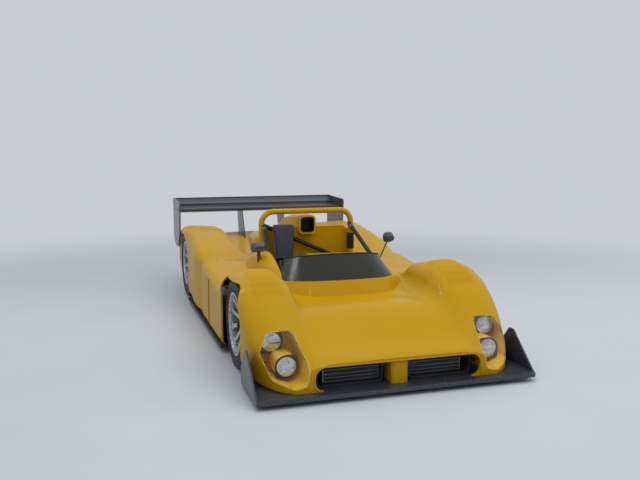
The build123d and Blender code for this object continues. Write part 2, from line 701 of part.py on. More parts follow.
# The column passes through the dashboard with a running gap
DASH_FRONT = 480
with BuildPart() as dashboard:
    add(side_profile([(DASH_FRONT, 400), (DASH_FRONT, 552), (DASH_FRONT + 60, 568),
                      (DASH_FRONT + 130, 538), (DASH_FRONT + 95, 420)], -500, 500, [4, 20, 30, 40, 10]))
    add(tub_hollow.part, mode=Mode.INTERSECT)
    add(rod(COLUMN_FOOT, WHEEL_CENTRE, COLUMN_RADIUS + SEAT_GAP), mode=Mode.SUBTRACT)
keep(dashboard, "dashboard")

# Roll hoop of round tube, its legs standing on the tub
with BuildPart() as roll_hoop:
    half = HOOP_HALF_WIDTH - HOOP_TUBE / 2
    with BuildLine(Plane.XZ.offset(-HOOP_Y)) as hoop_line:
        FilletPolyline((-half, TUB_TOP_Z), (-half, HOOP_TOP_Z - HOOP_TUBE / 2),
                       (half, HOOP_TOP_Z - HOOP_TUBE / 2), (half, TUB_TOP_Z), radius=110)
    with BuildSketch(Plane((-half, HOOP_Y, TUB_TOP_Z))):
        Circle(HOOP_TUBE / 2)
    sweep(path=hoop_line.wires()[0])
keep(roll_hoop, "roll_hoop")

# Braces: two forward stays that end on the cockpit's edge, a diagonal and a headrest bar
with BuildPart() as stay_trim:
    add(middle_form.part)
    add(box_between((-1000, car_y(0), 0), (1000, car_y(1000), 1000)), mode=Mode.INTERSECT)

with BuildPart() as roll_braces:
    for side in (1, -1):
        add(rod((side * 412, HOOP_Y - 8, 894), (side * 484, car_y(765), 590), BRACE_RADIUS))
    add(rod((-430, HOOP_Y, 905), (310, HOOP_Y, TUB_TOP_Z - 10), BRACE_RADIUS))
    add(rod((DRIVER_X, HOOP_Y, TUB_TOP_Z - 10), (DRIVER_X, HOOP_Y, 820), BRACE_RADIUS))
    add(roll_hoop.part, mode=Mode.SUBTRACT)
    add(box_between((-600, HOOP_Y - 60, 0), (600, HOOP_Y + 60, TUB_TOP_Z)), mode=Mode.SUBTRACT)
    add(stay_trim.part, mode=Mode.SUBTRACT)
keep(roll_braces, "roll_braces")

# Low wraparound windscreen, trimmed to the body below it
SCREEN_THICKNESS = 6
SCREEN_REAR = 725
SCREEN_BASE = [(500, 850), (478, 330), (330, 175), (0, 118)]
SCREEN_TOP = [(412, 850), (400, 620), (270, 420), (0, 362)]
SCREEN_SIDE_CUT = [(200, 770), (362, 752), (520, 712), (690, 650), (860, 628), (860, 900), (200, 900)]


def screen_section(points, z, inset):
    outline = points[:-1] + [points[-1]] + [(-x, y) for x, y in reversed(points[:-1])]
    corners = [(x, car_y(y)) for x, y in outline]
    if inset:
        corners = [(x * (1 - inset / 480), y + inset) for x, y in corners]
    shares = [0.02, 0.45, 0.45, 0.45, 0.45, 0.45, 0.02]
    with BuildSketch(Plane.XY.offset(z)) as section:
        with BuildLine():
            FilletPolyline(*corners, radius=corner_radii(corners, shares), close=True)
        make_face()
    return section.sketch


with BuildPart() as windscreen:
    loft(sections=[screen_section(SCREEN_BASE, 540, 0), screen_section(SCREEN_TOP, 760, 0)])
    loft(sections=[screen_section(SCREEN_BASE, 540, SCREEN_THICKNESS),
                   screen_section(SCREEN_TOP, 760, SCREEN_THICKNESS)], mode=Mode.SUBTRACT)
    add(side_profile(SCREEN_SIDE_CUT, -600, 600), mode=Mode.SUBTRACT)
    add(box_between((-600, car_y(SCREEN_REAR), 0), (600, car_y(1000), 900)), mode=Mode.SUBTRACT)
    lowest = min(z for y, z in COWL_TOP)
    add(box_between((-600, car_y(0), 0), (600, car_y(1000), lowest)), mode=Mode.SUBTRACT)
    add(cowl_form, mode=Mode.SUBTRACT)
    add(middle_form.part, mode=Mode.SUBTRACT)
keep(windscreen, "windscreen")

# Mirrors: a low one on the driver's cockpit edge, and a drop-shaped one on a long thin stalk
MIRROR_DEPTH = 74
MIRRORS = [
    # centre of the glass, its width, height and corner, foot of the stalk, radius of the stalk
    (Vector(-574, 800, 768), (132, 82, 30), Vector(-574, 790, 600), 15),
    (Vector(604, 800, 811), (100, 92, 36), Vector(470, 712, 600), 7),
]
with BuildPart() as mirrors:
    for centre, (width, height, corner), foot, stalk_radius in MIRRORS:
        with BuildSketch(Plane.XZ.offset(-car_y(centre.Y))):
            with Locations((centre.X, centre.Z)):
                RectangleRounded(width, height, corner)
        with BuildSketch(Plane.XZ.offset(-car_y(centre.Y - MIRROR_DEPTH))):
            with Locations((centre.X, centre.Z)):
                RectangleRounded(width * 0.55, height * 0.5, corner * 0.6)
        loft()
        add(rod((foot.X, car_y(foot.Y), foot.Z), (centre.X, car_y(centre.Y) - 20, centre.Z), stalk_radius))
    add(middle_form.part, mode=Mode.SUBTRACT)
keep(mirrors, "mirrors")

# Engine and gearbox, each one closed block with its main outline
with BuildPart() as engine_block:
    add(side_profile([(TAIL_FRONT + SEAT_GAP, 66), (TAIL_FRONT + SEAT_GAP, 470), (1420, 540), (1990, 540),
                      (2060, 470), (2060, 66)], -210, 210, [4, 30, 40, 40, 40, 4]))
keep(engine_block, "engine_block")

GEARBOX_HALF_WIDTH = 150
GEARBOX_END = WHEELBASE + 330
TOW_EYE_Y = WHEELBASE + 670
TOW_EYE_Z = 330
TOW_EYE_RADIUS = 20
TOW_PLATE = 14
with BuildPart() as gearbox:
    add(side_profile([(2060, 90), (2060, 440), (WHEELBASE - 200, 450), (WHEELBASE + 160, 440),
                      (GEARBOX_END, 400), (GEARBOX_END, 180), (WHEELBASE + 100, 90)],
                     -GEARBOX_HALF_WIDTH, GEARBOX_HALF_WIDTH, [1, 20, 60, 60, 50, 60, 60]))
    with BuildSketch(Plane.YZ.offset(-TOW_PLATE / 2)):
        with BuildLine():
            plate_front = car_y(GEARBOX_END - 10)
            plate_rear = car_y(TOW_EYE_Y + 40)
            FilletPolyline((plate_front, TOW_EYE_Z - 34), (plate_front, TOW_EYE_Z + 34),
                           (plate_rear, TOW_EYE_Z + 34), (plate_rear, TOW_EYE_Z - 34),
                           radius=[1, 1, 32, 32], close=True)
        make_face()
        with Locations((car_y(TOW_EYE_Y), TOW_EYE_Z)):
            Circle(TOW_EYE_RADIUS, mode=Mode.SUBTRACT)
    extrude(amount=TOW_PLATE)
keep(gearbox, "gearbox")

with BuildPart() as exhausts:
    for side in (1, -1):
        path_start = (side * 190, car_y(1650), 400)
        path_middle = (side * EXHAUST_X, car_y(2000), EXHAUST_Z)
        path_end = (side * EXHAUST_X, car_y(TAIL_END + 30), EXHAUST_Z)
        add(rod(path_start, path_middle, EXHAUST_RADIUS))
        add(rod(path_middle, path_end, EXHAUST_RADIUS))
        with Locations(path_middle):
            Sphere(EXHAUST_RADIUS)
        add(rod((path_end[0], path_end[1] - 150, path_end[2]),
                (path_end[0], path_end[1] + 5, path_end[2]), EXHAUST_RADIUS - 3), mode=Mode.SUBTRACT)
    add(engine_block.part, mode=Mode.SUBTRACT)
keep(exhausts, "exhausts")

# Diffuser with upright strakes
DIFFUSER_HALF_WIDTH = 500
DIFFUSER_REAR = WHEELBASE + 760
with BuildPart() as diffuser:
    add(side_profile([(FLOOR_REAR, FLOOR_Z), (FLOOR_REAR, BODY_BOTTOM_Z), (DIFFUSER_REAR, 250),
                      (DIFFUSER_REAR, 232), (FLOOR_REAR + 20, FLOOR_Z)],
                     -DIFFUSER_HALF_WIDTH, DIFFUSER_HALF_WIDTH))
    for x in (-DIFFUSER_HALF_WIDTH + 5, -250, 250, DIFFUSER_HALF_WIDTH - 5):
        add(side_profile([(FLOOR_REAR + 25, FLOOR_Z), (DIFFUSER_REAR, 240), (DIFFUSER_REAR, 130),
                          (DIFFUSER_REAR - 60, 90)], x - 5, x + 5))
keep(diffuser, "diffuser")

# Rear wing: main plane, flap, end plates and two pylons
WING_CHORD = 400
WING_FRONT = WHEELBASE + 350
WING_Z = 893
FLAP_CHORD = 165


def wing_profile(y, z, chord, thickness, camber, slope):
    """An aerofoil of two arcs and a round nose, as a side-view sketch at the left end."""
    along = (0, cos(radians(slope)), sin(radians(slope)))
    plane = Plane(origin=(-WING_HALF_SPAN, car_y(y), z), x_dir=along, z_dir=(1, 0, 0))
    with BuildSketch(plane) as section:
        with BuildLine():
            low = ThreePointArc((chord * 0.04, -thickness * 0.4), (chord * 0.42, -camber - thickness / 2),
                                (chord, 0))
            tail = Line((chord, 0), (chord, 4))
            top = ThreePointArc((chord, 4), (chord * 0.42, -camber + thickness / 2),
                                (chord * 0.04, thickness * 0.4))
            ThreePointArc(top @ 1, (0, 0), low @ 0)
        make_face()
    return section.sketch


with BuildPart() as wing_main:
    add(wing_profile(WING_FRONT, WING_Z, WING_CHORD, 42, 26, 4))
    extrude(amount=2 * WING_HALF_SPAN, dir=(1, 0, 0))
keep(wing_main, "wing_main")

with BuildPart() as wing_flap:
    add(wing_profile(WING_FRONT + 352, WING_Z + 38, FLAP_CHORD, 18, 10, 22))
    extrude(amount=2 * WING_HALF_SPAN, dir=(1, 0, 0))
keep(wing_flap, "wing_flap")

with BuildPart() as wing_endplates:
    end = REAR_END_Y - FRONT_AXLE_Y
    front = end - ENDPLATE_DEPTH
    outline = [(front + 40, 640), (front, 986), (end, 1002), (end, 560), (end - 120, 470),
               (front + 180, 470)]
    for side in (1, -1):
        x_low, x_high = sorted((side * (WING_HALF_SPAN + SEAT_GAP), side * (WING_HALF_SPAN + ENDPLATE)))
        add(side_profile(outline, x_low, x_high, [30, 30, 12, 40, 60, 80]))
keep(wing_endplates, "wing_endplates")

PYLON_X = 240
with BuildPart() as wing_pylons:
    for side in (1, -1):
        add(side_profile([(WING_FRONT - 160, 560), (WING_FRONT + 40, 935), (WING_FRONT + 300, 935),
                          (WING_FRONT + 200, 560)], side * PYLON_X - 5, side * PYLON_X + 5))
    add(tail_form.part, mode=Mode.SUBTRACT)
    add(engine_cover.part, mode=Mode.SUBTRACT)
    add(wing_main.part, mode=Mode.SUBTRACT)
    add(box_between((-400, car_y(WING_FRONT) - 300, WING_Z + 5), (400, car_y(WING_FRONT) + 500, 1100)),
        mode=Mode.SUBTRACT)
keep(wing_pylons, "wing_pylons")

# Wheels: each tyre a ring on a rim whose windows leave ten spokes
HUB_RADIUS = 46
SPINDLE_RADIUS = 30
BEARING_GAP = 0.05
BARREL_INNER_RADIUS = 205
RIM_WALL = 12
FLANGE = 12
DISC_RADIUS = 165
DISC_HALF_THICKNESS = 13
SPOKES = 10
TYRE_SHOULDER = 28
UPRIGHT_INNER_X = 702
UPRIGHT_OUTER_X = 762


with BuildSketch() as window_sketch:
    with BuildLine():
        FilletPolyline((80, 9), (80, -9), (178, -42), (196, -24), (196, 24), (178, 42),
                       radius=8, close=True)
    make_face()
wheel_window = window_sketch.sketch


def wheel_plane_at(x, y, z, side):
    """Local x runs outwards along the axle and local y upwards."""
    return Plane(origin=(x, y, z), x_dir=(side, 0, 0), z_dir=(0, -side, 0))


def make_wheel(name, side, axle_y, radius, width, spindle_end_x):
    """A tyre and its rim; a driven rim has its spindle, an undriven one a bore for the stub axle."""
    centre = (side * (TYRE_OUTER_X - width / 2), axle_y, radius)
    plane = wheel_plane_at(*centre, side)
    axle = Axis(centre, (1, 0, 0))
    half = width / 2
    bead = half - 20
    seat_radius = BARREL_INNER_RADIUS + RIM_WALL
    with BuildPart() as tyre:
        with BuildSketch(plane):
            with BuildLine():
                outer = [(bead, seat_radius), (bead, RIM_RADIUS + 2), (half, RIM_RADIUS + 36),
                         (half - 3, radius - TYRE_SHOULDER), (half - 9, radius - 9), (half - 26, radius)]
                Polyline(*outer, *mirrored(outer), close=True)
            make_face()
        revolve(axis=axle)
    keep(tyre, f"{name}_tyre")
    with BuildPart() as rim:
        with BuildSketch(plane):
            with BuildLine():
                Polyline((-bead - FLANGE, BARREL_INNER_RADIUS + 10), (-bead - FLANGE, RIM_RADIUS),
                         (-bead - SEAT_GAP, RIM_RADIUS), (-bead - SEAT_GAP, seat_radius - SEAT_GAP),
                         (bead + SEAT_GAP, seat_radius - SEAT_GAP), (bead + SEAT_GAP, RIM_RADIUS),
                         (bead + FLANGE, RIM_RADIUS), (bead + FLANGE, BARREL_INNER_RADIUS + 10),
                         (bead, BARREL_INNER_RADIUS), (-bead, BARREL_INNER_RADIUS), close=True)
            make_face()
            with BuildLine():
                Polyline((18, SPINDLE_RADIUS + BEARING_GAP), (18, HUB_RADIUS + 14), (46, HUB_RADIUS + 20),
                         (bead - 46, 165), (bead - 34, BARREL_INNER_RADIUS + 2),
                         (bead - 4, BARREL_INNER_RADIUS + 2), (bead - 20, 160), (84, HUB_RADIUS + 6),
                         (84, SPINDLE_RADIUS + BEARING_GAP), close=True)
            make_face()
            with BuildLine():
                Polyline((-DISC_HALF_THICKNESS, SPINDLE_RADIUS + BEARING_GAP),
                         (-DISC_HALF_THICKNESS, DISC_RADIUS), (DISC_HALF_THICKNESS, DISC_RADIUS),
                         (DISC_HALF_THICKNESS, HUB_RADIUS + 20), (30, HUB_RADIUS + 12),
                         (30, SPINDLE_RADIUS + BEARING_GAP), close=True)
            make_face()
        revolve(axis=axle)
        window_start = (centre[0] + side * 25, *centre[1:])
        with BuildSketch(Plane(origin=window_start, x_dir=(0, 1, 0), z_dir=(side, 0, 0))):
            with PolarLocations(0, SPOKES):
                add(wheel_window)
        extrude(amount=half, mode=Mode.SUBTRACT)
        hub_face = (centre[0] + side * 84, *centre[1:])
        with BuildSketch(Plane(origin=hub_face, z_dir=(side, 0, 0))):
            Circle(HUB_RADIUS)
        extrude(amount=20)
        if spindle_end_x:
            add(rod((side * spindle_end_x, *centre[1:]), (centre[0] + side * 85, *centre[1:]),
                    SPINDLE_RADIUS))
            add(rod((centre[0] - side * DISC_HALF_THICKNESS, *centre[1:]),
                    (centre[0] + side * 84, *centre[1:]), SPINDLE_RADIUS + 1))
    keep(rim, f"{name}_rim")


FRONT_WHEEL_X = TYRE_OUTER_X - FRONT_TYRE_WIDTH / 2
REAR_WHEEL_X = TYRE_OUTER_X - REAR_TYRE_WIDTH / 2
REAR_UPRIGHT_INNER_X = 664
REAR_UPRIGHT_OUTER_X = 728
for side, word in ((1, "left"), (-1, "right")):
    make_wheel(f"front_{word}", side, FRONT_AXLE_Y, FRONT_TYRE_RADIUS, FRONT_TYRE_WIDTH, None)
    make_wheel(f"rear_{word}", side, REAR_AXLE_Y, REAR_TYRE_RADIUS, REAR_TYRE_WIDTH,
               REAR_UPRIGHT_INNER_X - 4)

# Uprights: a block with its caliper; the front ones turn on two pins and carry the stub axle
UPRIGHT_HALF_HEIGHT = 105
UPRIGHT_HALF_DEPTH = 40
PIN_RADIUS = 8
PIN_STUB = 16
UPPER_EYE_RISE = 26
LOWER_EYE_DROP = 18
ARM_PIN_RADIUS = 6
EYE_RADIUS = 20
EYE_HALF_HEIGHT = 9
ROD_EYE_GAP = 4.5
CALIPER_INNER = 45


def add_caliper(side, wheel_x, axle_y, axle_z, inner_x):
    """A caliper behind the axle that straddles the brake disc, on a bracket to the upright."""
    def block(low, high):
        corners = sorted((side * low[0], side * high[0]))
        return box_between((corners[0], axle_y + low[1], axle_z + low[2]),
                           (corners[1], axle_y + high[1], axle_z + high[2]))
    add(block((wheel_x - CALIPER_INNER, 108, -55), (wheel_x + 40, 182, 55)))
    add(block((inner_x, UPRIGHT_HALF_DEPTH - 5, -35), (wheel_x - CALIPER_INNER + 18, 130, 35)))
    add(rod((side * (wheel_x - DISC_HALF_THICKNESS - RUNNING_GAP), axle_y, axle_z),
            (side * (wheel_x + DISC_HALF_THICKNESS + RUNNING_GAP), axle_y, axle_z),
            DISC_RADIUS + RUNNING_GAP), mode=Mode.SUBTRACT)


for side, word in ((1, "left"), (-1, "right")):
    with BuildPart() as upright:
        x_low, x_high = sorted((side * UPRIGHT_INNER_X, side * UPRIGHT_OUTER_X))
        z_low = FRONT_TYRE_RADIUS - UPRIGHT_HALF_HEIGHT
        z_high = FRONT_TYRE_RADIUS + UPRIGHT_HALF_HEIGHT
        add(box_between((x_low, FRONT_AXLE_Y - UPRIGHT_HALF_DEPTH, z_low),
                        (x_high, FRONT_AXLE_Y + UPRIGHT_HALF_DEPTH, z_high)))
        add_caliper(side, FRONT_WHEEL_X, FRONT_AXLE_Y, FRONT_TYRE_RADIUS, UPRIGHT_INNER_X)
        add(rod((side * UPRIGHT_INNER_X, FRONT_AXLE_Y, FRONT_TYRE_RADIUS),
                (side * (FRONT_WHEEL_X + 80), FRONT_AXLE_Y, FRONT_TYRE_RADIUS), SPINDLE_RADIUS))
        for up, eye_rise in ((1, UPPER_EYE_RISE), (-1, LOWER_EYE_DROP)):
            root_z = FRONT_TYRE_RADIUS + up * UPRIGHT_HALF_HEIGHT
            pin_end_z = root_z + up * (eye_rise + PIN_STUB)
            add(rod((side * KINGPIN_X, FRONT_AXLE_Y, root_z - up * 10),
                    (side * KINGPIN_X, FRONT_AXLE_Y, pin_end_z), PIN_RADIUS))
        add(box_between((side * KINGPIN_X - 14, FRONT_AXLE_Y - ARM_LENGTH - 14, RACK_Z - 40),
                        (side * KINGPIN_X + 14, FRONT_AXLE_Y, RACK_Z - 16)))
        add(rod((side * KINGPIN_X, FRONT_AXLE_Y - ARM_LENGTH, RACK_Z - 20),
                (side * KINGPIN_X, FRONT_AXLE_Y - ARM_LENGTH, RACK_Z + 14), ARM_PIN_RADIUS))
    keep(upright, f"front_{word}_upright")

# Steering rack: one bar through the foot box, with an eye round each arm's pin
with BuildPart() as steering_rack:
    rack_y = FRONT_AXLE_Y - ARM_LENGTH
    add(rod((-KINGPIN_X + 12, rack_y, RACK_Z), (KINGPIN_X - 12, rack_y, RACK_Z), RACK_RADIUS))
    for side in (1, -1):
        add(rod((side * KINGPIN_X, rack_y, RACK_Z - EYE_HALF_HEIGHT),
                (side * KINGPIN_X, rack_y, RACK_Z + EYE_HALF_HEIGHT), EYE_RADIUS))
        add(rod((side * KINGPIN_X, rack_y, RACK_Z - 30), (side * KINGPIN_X, rack_y, RACK_Z + 30),
                ARM_PIN_RADIUS + ROD_EYE_GAP), mode=Mode.SUBTRACT)
keep(steering_rack, "steering_rack")

# Front wishbones: two arms a side, each a pair of tubes from an eye to brackets on the tub
ARM_RADIUS = 11
ARM_SPREAD = 140
BRACKET = 26
LOWER_ARM_Z = FRONT_TYRE_RADIUS - UPRIGHT_HALF_HEIGHT - LOWER_EYE_DROP
UPPER_ARM_Z = FRONT_TYRE_RADIUS + UPRIGHT_HALF_HEIGHT + UPPER_EYE_RISE
UPPER_ARM_ROOT_Z = 370
with BuildPart() as front_wishbones:
    for side in (1, -1):
        for eye_z, root_z in ((LOWER_ARM_Z, LOWER_ARM_Z), (UPPER_ARM_Z, UPPER_ARM_ROOT_Z)):
            eye = (side * KINGPIN_X, FRONT_AXLE_Y, eye_z)
            add(rod((*eye[:2], eye_z - EYE_HALF_HEIGHT), (*eye[:2], eye_z + EYE_HALF_HEIGHT),
                    EYE_RADIUS))
            for spread in (ARM_SPREAD, -ARM_SPREAD):
                root = (side * (FOOTBOX_HALF_WIDTH + BRACKET / 2), FRONT_AXLE_Y + spread, root_z)
                add(rod(eye, root, ARM_RADIUS))
                x_low, x_high = sorted((side * FOOTBOX_HALF_WIDTH, side * (FOOTBOX_HALF_WIDTH + BRACKET)))
                add(box_between((x_low, root[1] - BRACKET, root_z - 20),
                                (x_high, root[1] + BRACKET, root_z + 20)))
        for eye_z in (LOWER_ARM_Z, UPPER_ARM_Z):
            add(rod((side * KINGPIN_X, FRONT_AXLE_Y, eye_z - 30),
                    (side * KINGPIN_X, FRONT_AXLE_Y, eye_z + 30), PIN_RADIUS + BEARING_GAP),
                mode=Mode.SUBTRACT)
keep(front_wishbones, "front_wishbones")

# Rear uprights and wishbones, fixed on the gearbox
REAR_ARM_SPREAD = 170
REAR_LOWER_Z = REAR_TYRE_RADIUS - 122
REAR_UPPER_Z = REAR_TYRE_RADIUS + 122
REAR_UPPER_ROOT_Z = 408
with BuildPart() as rear_suspension:
    for side in (1, -1):
        x_low, x_high = sorted((side * REAR_UPRIGHT_INNER_X, side * REAR_UPRIGHT_OUTER_X))
        add(box_between((x_low, REAR_AXLE_Y - 42, REAR_TYRE_RADIUS - 132),
                        (x_high, REAR_AXLE_Y + 42, REAR_TYRE_RADIUS + 132)))
        add_caliper(side, REAR_WHEEL_X, REAR_AXLE_Y, REAR_TYRE_RADIUS, REAR_UPRIGHT_INNER_X)
        for tip_z, root_z in ((REAR_LOWER_Z, REAR_LOWER_Z), (REAR_UPPER_Z, REAR_UPPER_ROOT_Z)):
            tip = (side * (REAR_UPRIGHT_INNER_X + 10), REAR_AXLE_Y, tip_z)
            for spread in (REAR_ARM_SPREAD, -REAR_ARM_SPREAD):
                root = (side * (GEARBOX_HALF_WIDTH + BRACKET / 2), REAR_AXLE_Y + spread, root_z)
                add(rod(tip, root, ARM_RADIUS))
                x_low, x_high = sorted((side * GEARBOX_HALF_WIDTH, side * (GEARBOX_HALF_WIDTH + BRACKET)))
                add(box_between((x_low, root[1] - BRACKET, root_z - 18),
                                (x_high, root[1] + BRACKET, root_z + 18)))
        add(rod((side * 600, REAR_AXLE_Y, REAR_TYRE_RADIUS),
                (side * 760, REAR_AXLE_Y, REAR_TYRE_RADIUS), SPINDLE_RADIUS + BEARING_GAP),
            mode=Mode.SUBTRACT)
keep(rear_suspension, "rear_suspension")

# Driveshafts with a joint boot at each end
SHAFT_RADIUS = 17
BOOT_RADIUS = 40
for side, word in ((1, "left"), (-1, "right")):
    with BuildPart() as driveshaft:
        inner_x = GEARBOX_HALF_WIDTH + 1
        outer_x = REAR_UPRIGHT_INNER_X - 4
        points = [(inner_x, BOOT_RADIUS), (inner_x + 60, BOOT_RADIUS), (inner_x + 110, SHAFT_RADIUS),
                  (outer_x - 110, SHAFT_RADIUS), (outer_x - 60, BOOT_RADIUS - 4),
                  (outer_x, BOOT_RADIUS - 4)]
        with BuildSketch(wheel_plane_at(0, REAR_AXLE_Y, REAR_TYRE_RADIUS, side)):
            with BuildLine():
                Polyline((inner_x, 0), *points, (outer_x, 0), close=True)
            make_face()
        revolve(axis=Axis((0, REAR_AXLE_Y, REAR_TYRE_RADIUS), (1, 0, 0)))
    keep(driveshaft, f"rear_{word}_driveshaft")

# Three pedals on the foot box floor
with BuildPart() as pedals:
    for x in (DRIVER_X - 28, DRIVER_X + 36, DRIVER_X + 104):
        add(side_profile([(-40, TUB_FLOOR_Z), (-40, 100), (-58, 225), (-40, 300), (-28, 298), (-44, 225),
                          (-20, 100), (-20, TUB_FLOOR_Z)], x - 8, x + 8))
        add(side_profile([(-50, 240), (-34, 300), (-22, 298), (-38, 236)], x - 26, x + 26))
keep(pedals, "pedals")
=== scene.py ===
import json
from math import cos, pi, radians, sin

import bmesh
import bpy
from mathutils import Matrix, Vector
from mathutils.bvhtree import BVHTree


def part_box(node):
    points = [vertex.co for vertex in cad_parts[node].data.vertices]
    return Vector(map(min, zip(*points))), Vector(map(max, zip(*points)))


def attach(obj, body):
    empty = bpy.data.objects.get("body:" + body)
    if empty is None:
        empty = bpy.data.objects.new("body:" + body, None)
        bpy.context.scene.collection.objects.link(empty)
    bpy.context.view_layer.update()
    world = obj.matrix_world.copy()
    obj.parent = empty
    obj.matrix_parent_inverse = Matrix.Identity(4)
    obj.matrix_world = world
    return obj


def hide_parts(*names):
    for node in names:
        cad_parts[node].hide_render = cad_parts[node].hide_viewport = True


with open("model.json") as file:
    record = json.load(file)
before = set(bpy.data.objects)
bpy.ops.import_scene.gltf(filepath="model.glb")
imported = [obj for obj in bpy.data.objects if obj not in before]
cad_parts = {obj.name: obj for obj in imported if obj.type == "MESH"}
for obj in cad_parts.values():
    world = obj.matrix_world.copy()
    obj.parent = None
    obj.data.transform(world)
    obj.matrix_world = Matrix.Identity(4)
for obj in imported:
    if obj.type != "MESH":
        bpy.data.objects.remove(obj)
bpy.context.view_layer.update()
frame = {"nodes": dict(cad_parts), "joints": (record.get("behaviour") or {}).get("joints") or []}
nodes = frame["nodes"]
joint_place = {joint["name"]: Vector(joint["pos_m"]) for joint in frame["joints"] if "pos_m" in joint}
front_axle = joint_place["front_left_wheel_spin"]

# The place the car is seen in: a smooth pale floor that runs out into a backdrop of the same tone. Soft
# light comes from the whole sky of the studio, from a broad panel overhead and from one at the side, and
# two narrow tubes draw the highlights.
CAMERA_PLACE = (-1.924, -6.520, 1.628)
CAMERA_YAW = radians(17.54)
CAMERA_PITCH = radians(7.42)
LENS = 41.34
FLOOR_HALF = 60.0
BACKDROP_COLOR = "#C9CDD2"
SKY_LEVELS = (0.24, 0.86)
LIGHT_PANELS = [
    # name, place, what it faces, width, height, watts
    ("overhead_panel", (0.4, -1.6, 5.2), (0, -0.4, 0), 4.0, 7.0, 125),
    ("front_tube", (-2.2, -4.6, 3.6), (0, -1.2, 0.4), 0.22, 2.6, 20),
    ("left_tube", (-3.4, 0.9, 3.4), (0, 0.4, 0.4), 0.2, 3.4, 18),
    ("right_panel", (5.6, -1.0, 3.4), (0, 0, 0.3), 2.2, 3.4, 55),
]


def linear(hex_code):
    """An sRGB hex value as the linear colour that a shader takes."""
    channels = [int(hex_code[place:place + 2], 16) / 255 for place in (1, 3, 5)]
    return [c / 12.92 if c <= 0.04045 else ((c + 0.055) / 1.055) ** 2.4 for c in channels] + [1.0]


def add_node(tree, kind, settings=(), sockets=()):
    """Adds one shader node with its own settings, and a value or a link for each of its sockets."""
    made = tree.nodes.new(kind)
    for name, value in dict(settings).items():
        setattr(made, name, value)
    for name, value in dict(sockets).items():
        if isinstance(value, bpy.types.NodeSocket):
            tree.links.new(value, made.inputs[name])
        else:
            made.inputs[name].default_value = value
    return made


def backdrop_rays(tree):
    """One where a ray comes from the camera, from a glossy surface or through glass, and zero elsewhere."""
    ray = add_node(tree, "ShaderNodeLightPath")
    direct = add_node(tree, "ShaderNodeMath", {"operation": "MAXIMUM"},
                      {0: ray.outputs["Is Camera Ray"], 1: ray.outputs["Is Transmission Ray"]})
    return add_node(tree, "ShaderNodeMath", {"operation": "MAXIMUM"},
                    {0: direct.outputs[0], 1: ray.outputs["Is Glossy Ray"]}).outputs[0]


scene = bpy.context.scene
scene.view_settings.view_transform = "Standard"
camera = bpy.data.objects.new("camera", bpy.data.cameras.new("camera"))
camera.data.lens = LENS
camera.location = CAMERA_PLACE
camera.rotation_euler = (pi / 2 - CAMERA_PITCH, 0, -CAMERA_YAW)
scene.collection.objects.link(camera)
scene.camera = camera

for name, place, target, width, height, watts in LIGHT_PANELS:
    panel = bpy.data.objects.new(name, bpy.data.lights.new(name, "AREA"))
    panel.data.shape = "RECTANGLE"
    panel.data.size = width
    panel.data.size_y = height
    panel.data.energy = watts
    panel.location = place
    panel.rotation_euler = (Vector(target) - Vector(place)).to_track_quat("-Z", "Y").to_euler()
    panel.visible_glossy = "tube" in name
    scene.collection.objects.link(panel)

scene.world = bpy.data.worlds.new("studio")
scene.world.use_nodes = True
sky = scene.world.node_tree
sky.nodes.clear()
direction = add_node(sky, "ShaderNodeTexCoord")
height = add_node(sky, "ShaderNodeSeparateXYZ", {}, {"Vector": direction.outputs["Generated"]})
strength = add_node(sky, "ShaderNodeMapRange", {}, {
    "Value": height.outputs["Z"], "From Min": -0.1, "From Max": 0.9, "To Min": SKY_LEVELS[0],
    "To Max": SKY_LEVELS[1]})
backdrop = add_node(sky, "ShaderNodeBackground", {}, {"Color": linear(BACKDROP_COLOR), "Strength": 1.0})
ambient = add_node(sky, "ShaderNodeBackground", {},
                   {"Color": linear("#E4E7EC"), "Strength": strength.outputs[0]})
blend_sky = add_node(sky, "ShaderNodeMixShader", {},
                     {0: backdrop_rays(sky), 1: ambient.outputs[0], 2: backdrop.outputs[0]})
add_node(sky, "ShaderNodeOutputWorld", {}, {"Surface": blend_sky.outputs[0]})

floor_mesh = bpy.data.meshes.new("studio_floor")
corners = [(x * FLOOR_HALF, y * FLOOR_HALF, 0) for x, y in ((-1, -1), (1, -1), (1, 1), (-1, 1))]
floor_mesh.from_pydata(corners, [], [(0, 1, 2, 3)])
studio_floor = bpy.data.objects.new("studio_floor", floor_mesh)
scene.collection.objects.link(studio_floor)


# Finish of the floor: sealed concrete under a thin grey floor paint, clouded by wear in patches of about
# 0.7 m. Far from the car it turns into the tone of the backdrop.
def new_finish(name):
    """A new node material, its tree and the socket that gives each spot of the piece it covers."""
    finish = bpy.data.materials.new(name)
    finish.use_nodes = True
    tree = finish.node_tree
    tree.nodes.clear()
    return finish, tree, add_node(tree, "ShaderNodeTexCoord").outputs["Object"]


def clouded(tree, spot, waves, detail, colors):
    """A tone that drifts between two colours in clouds, that many to a metre, and the clouds."""
    noise = add_node(tree, "ShaderNodeTexNoise", {}, {"Vector": spot, "Scale": waves, "Detail": detail})
    tone = add_node(tree, "ShaderNodeMix", {"data_type": "RGBA"},
                    {0: noise.outputs["Fac"], 6: linear(colors[0]), 7: linear(colors[1])})
    return tone.outputs[2], noise.outputs["Fac"]


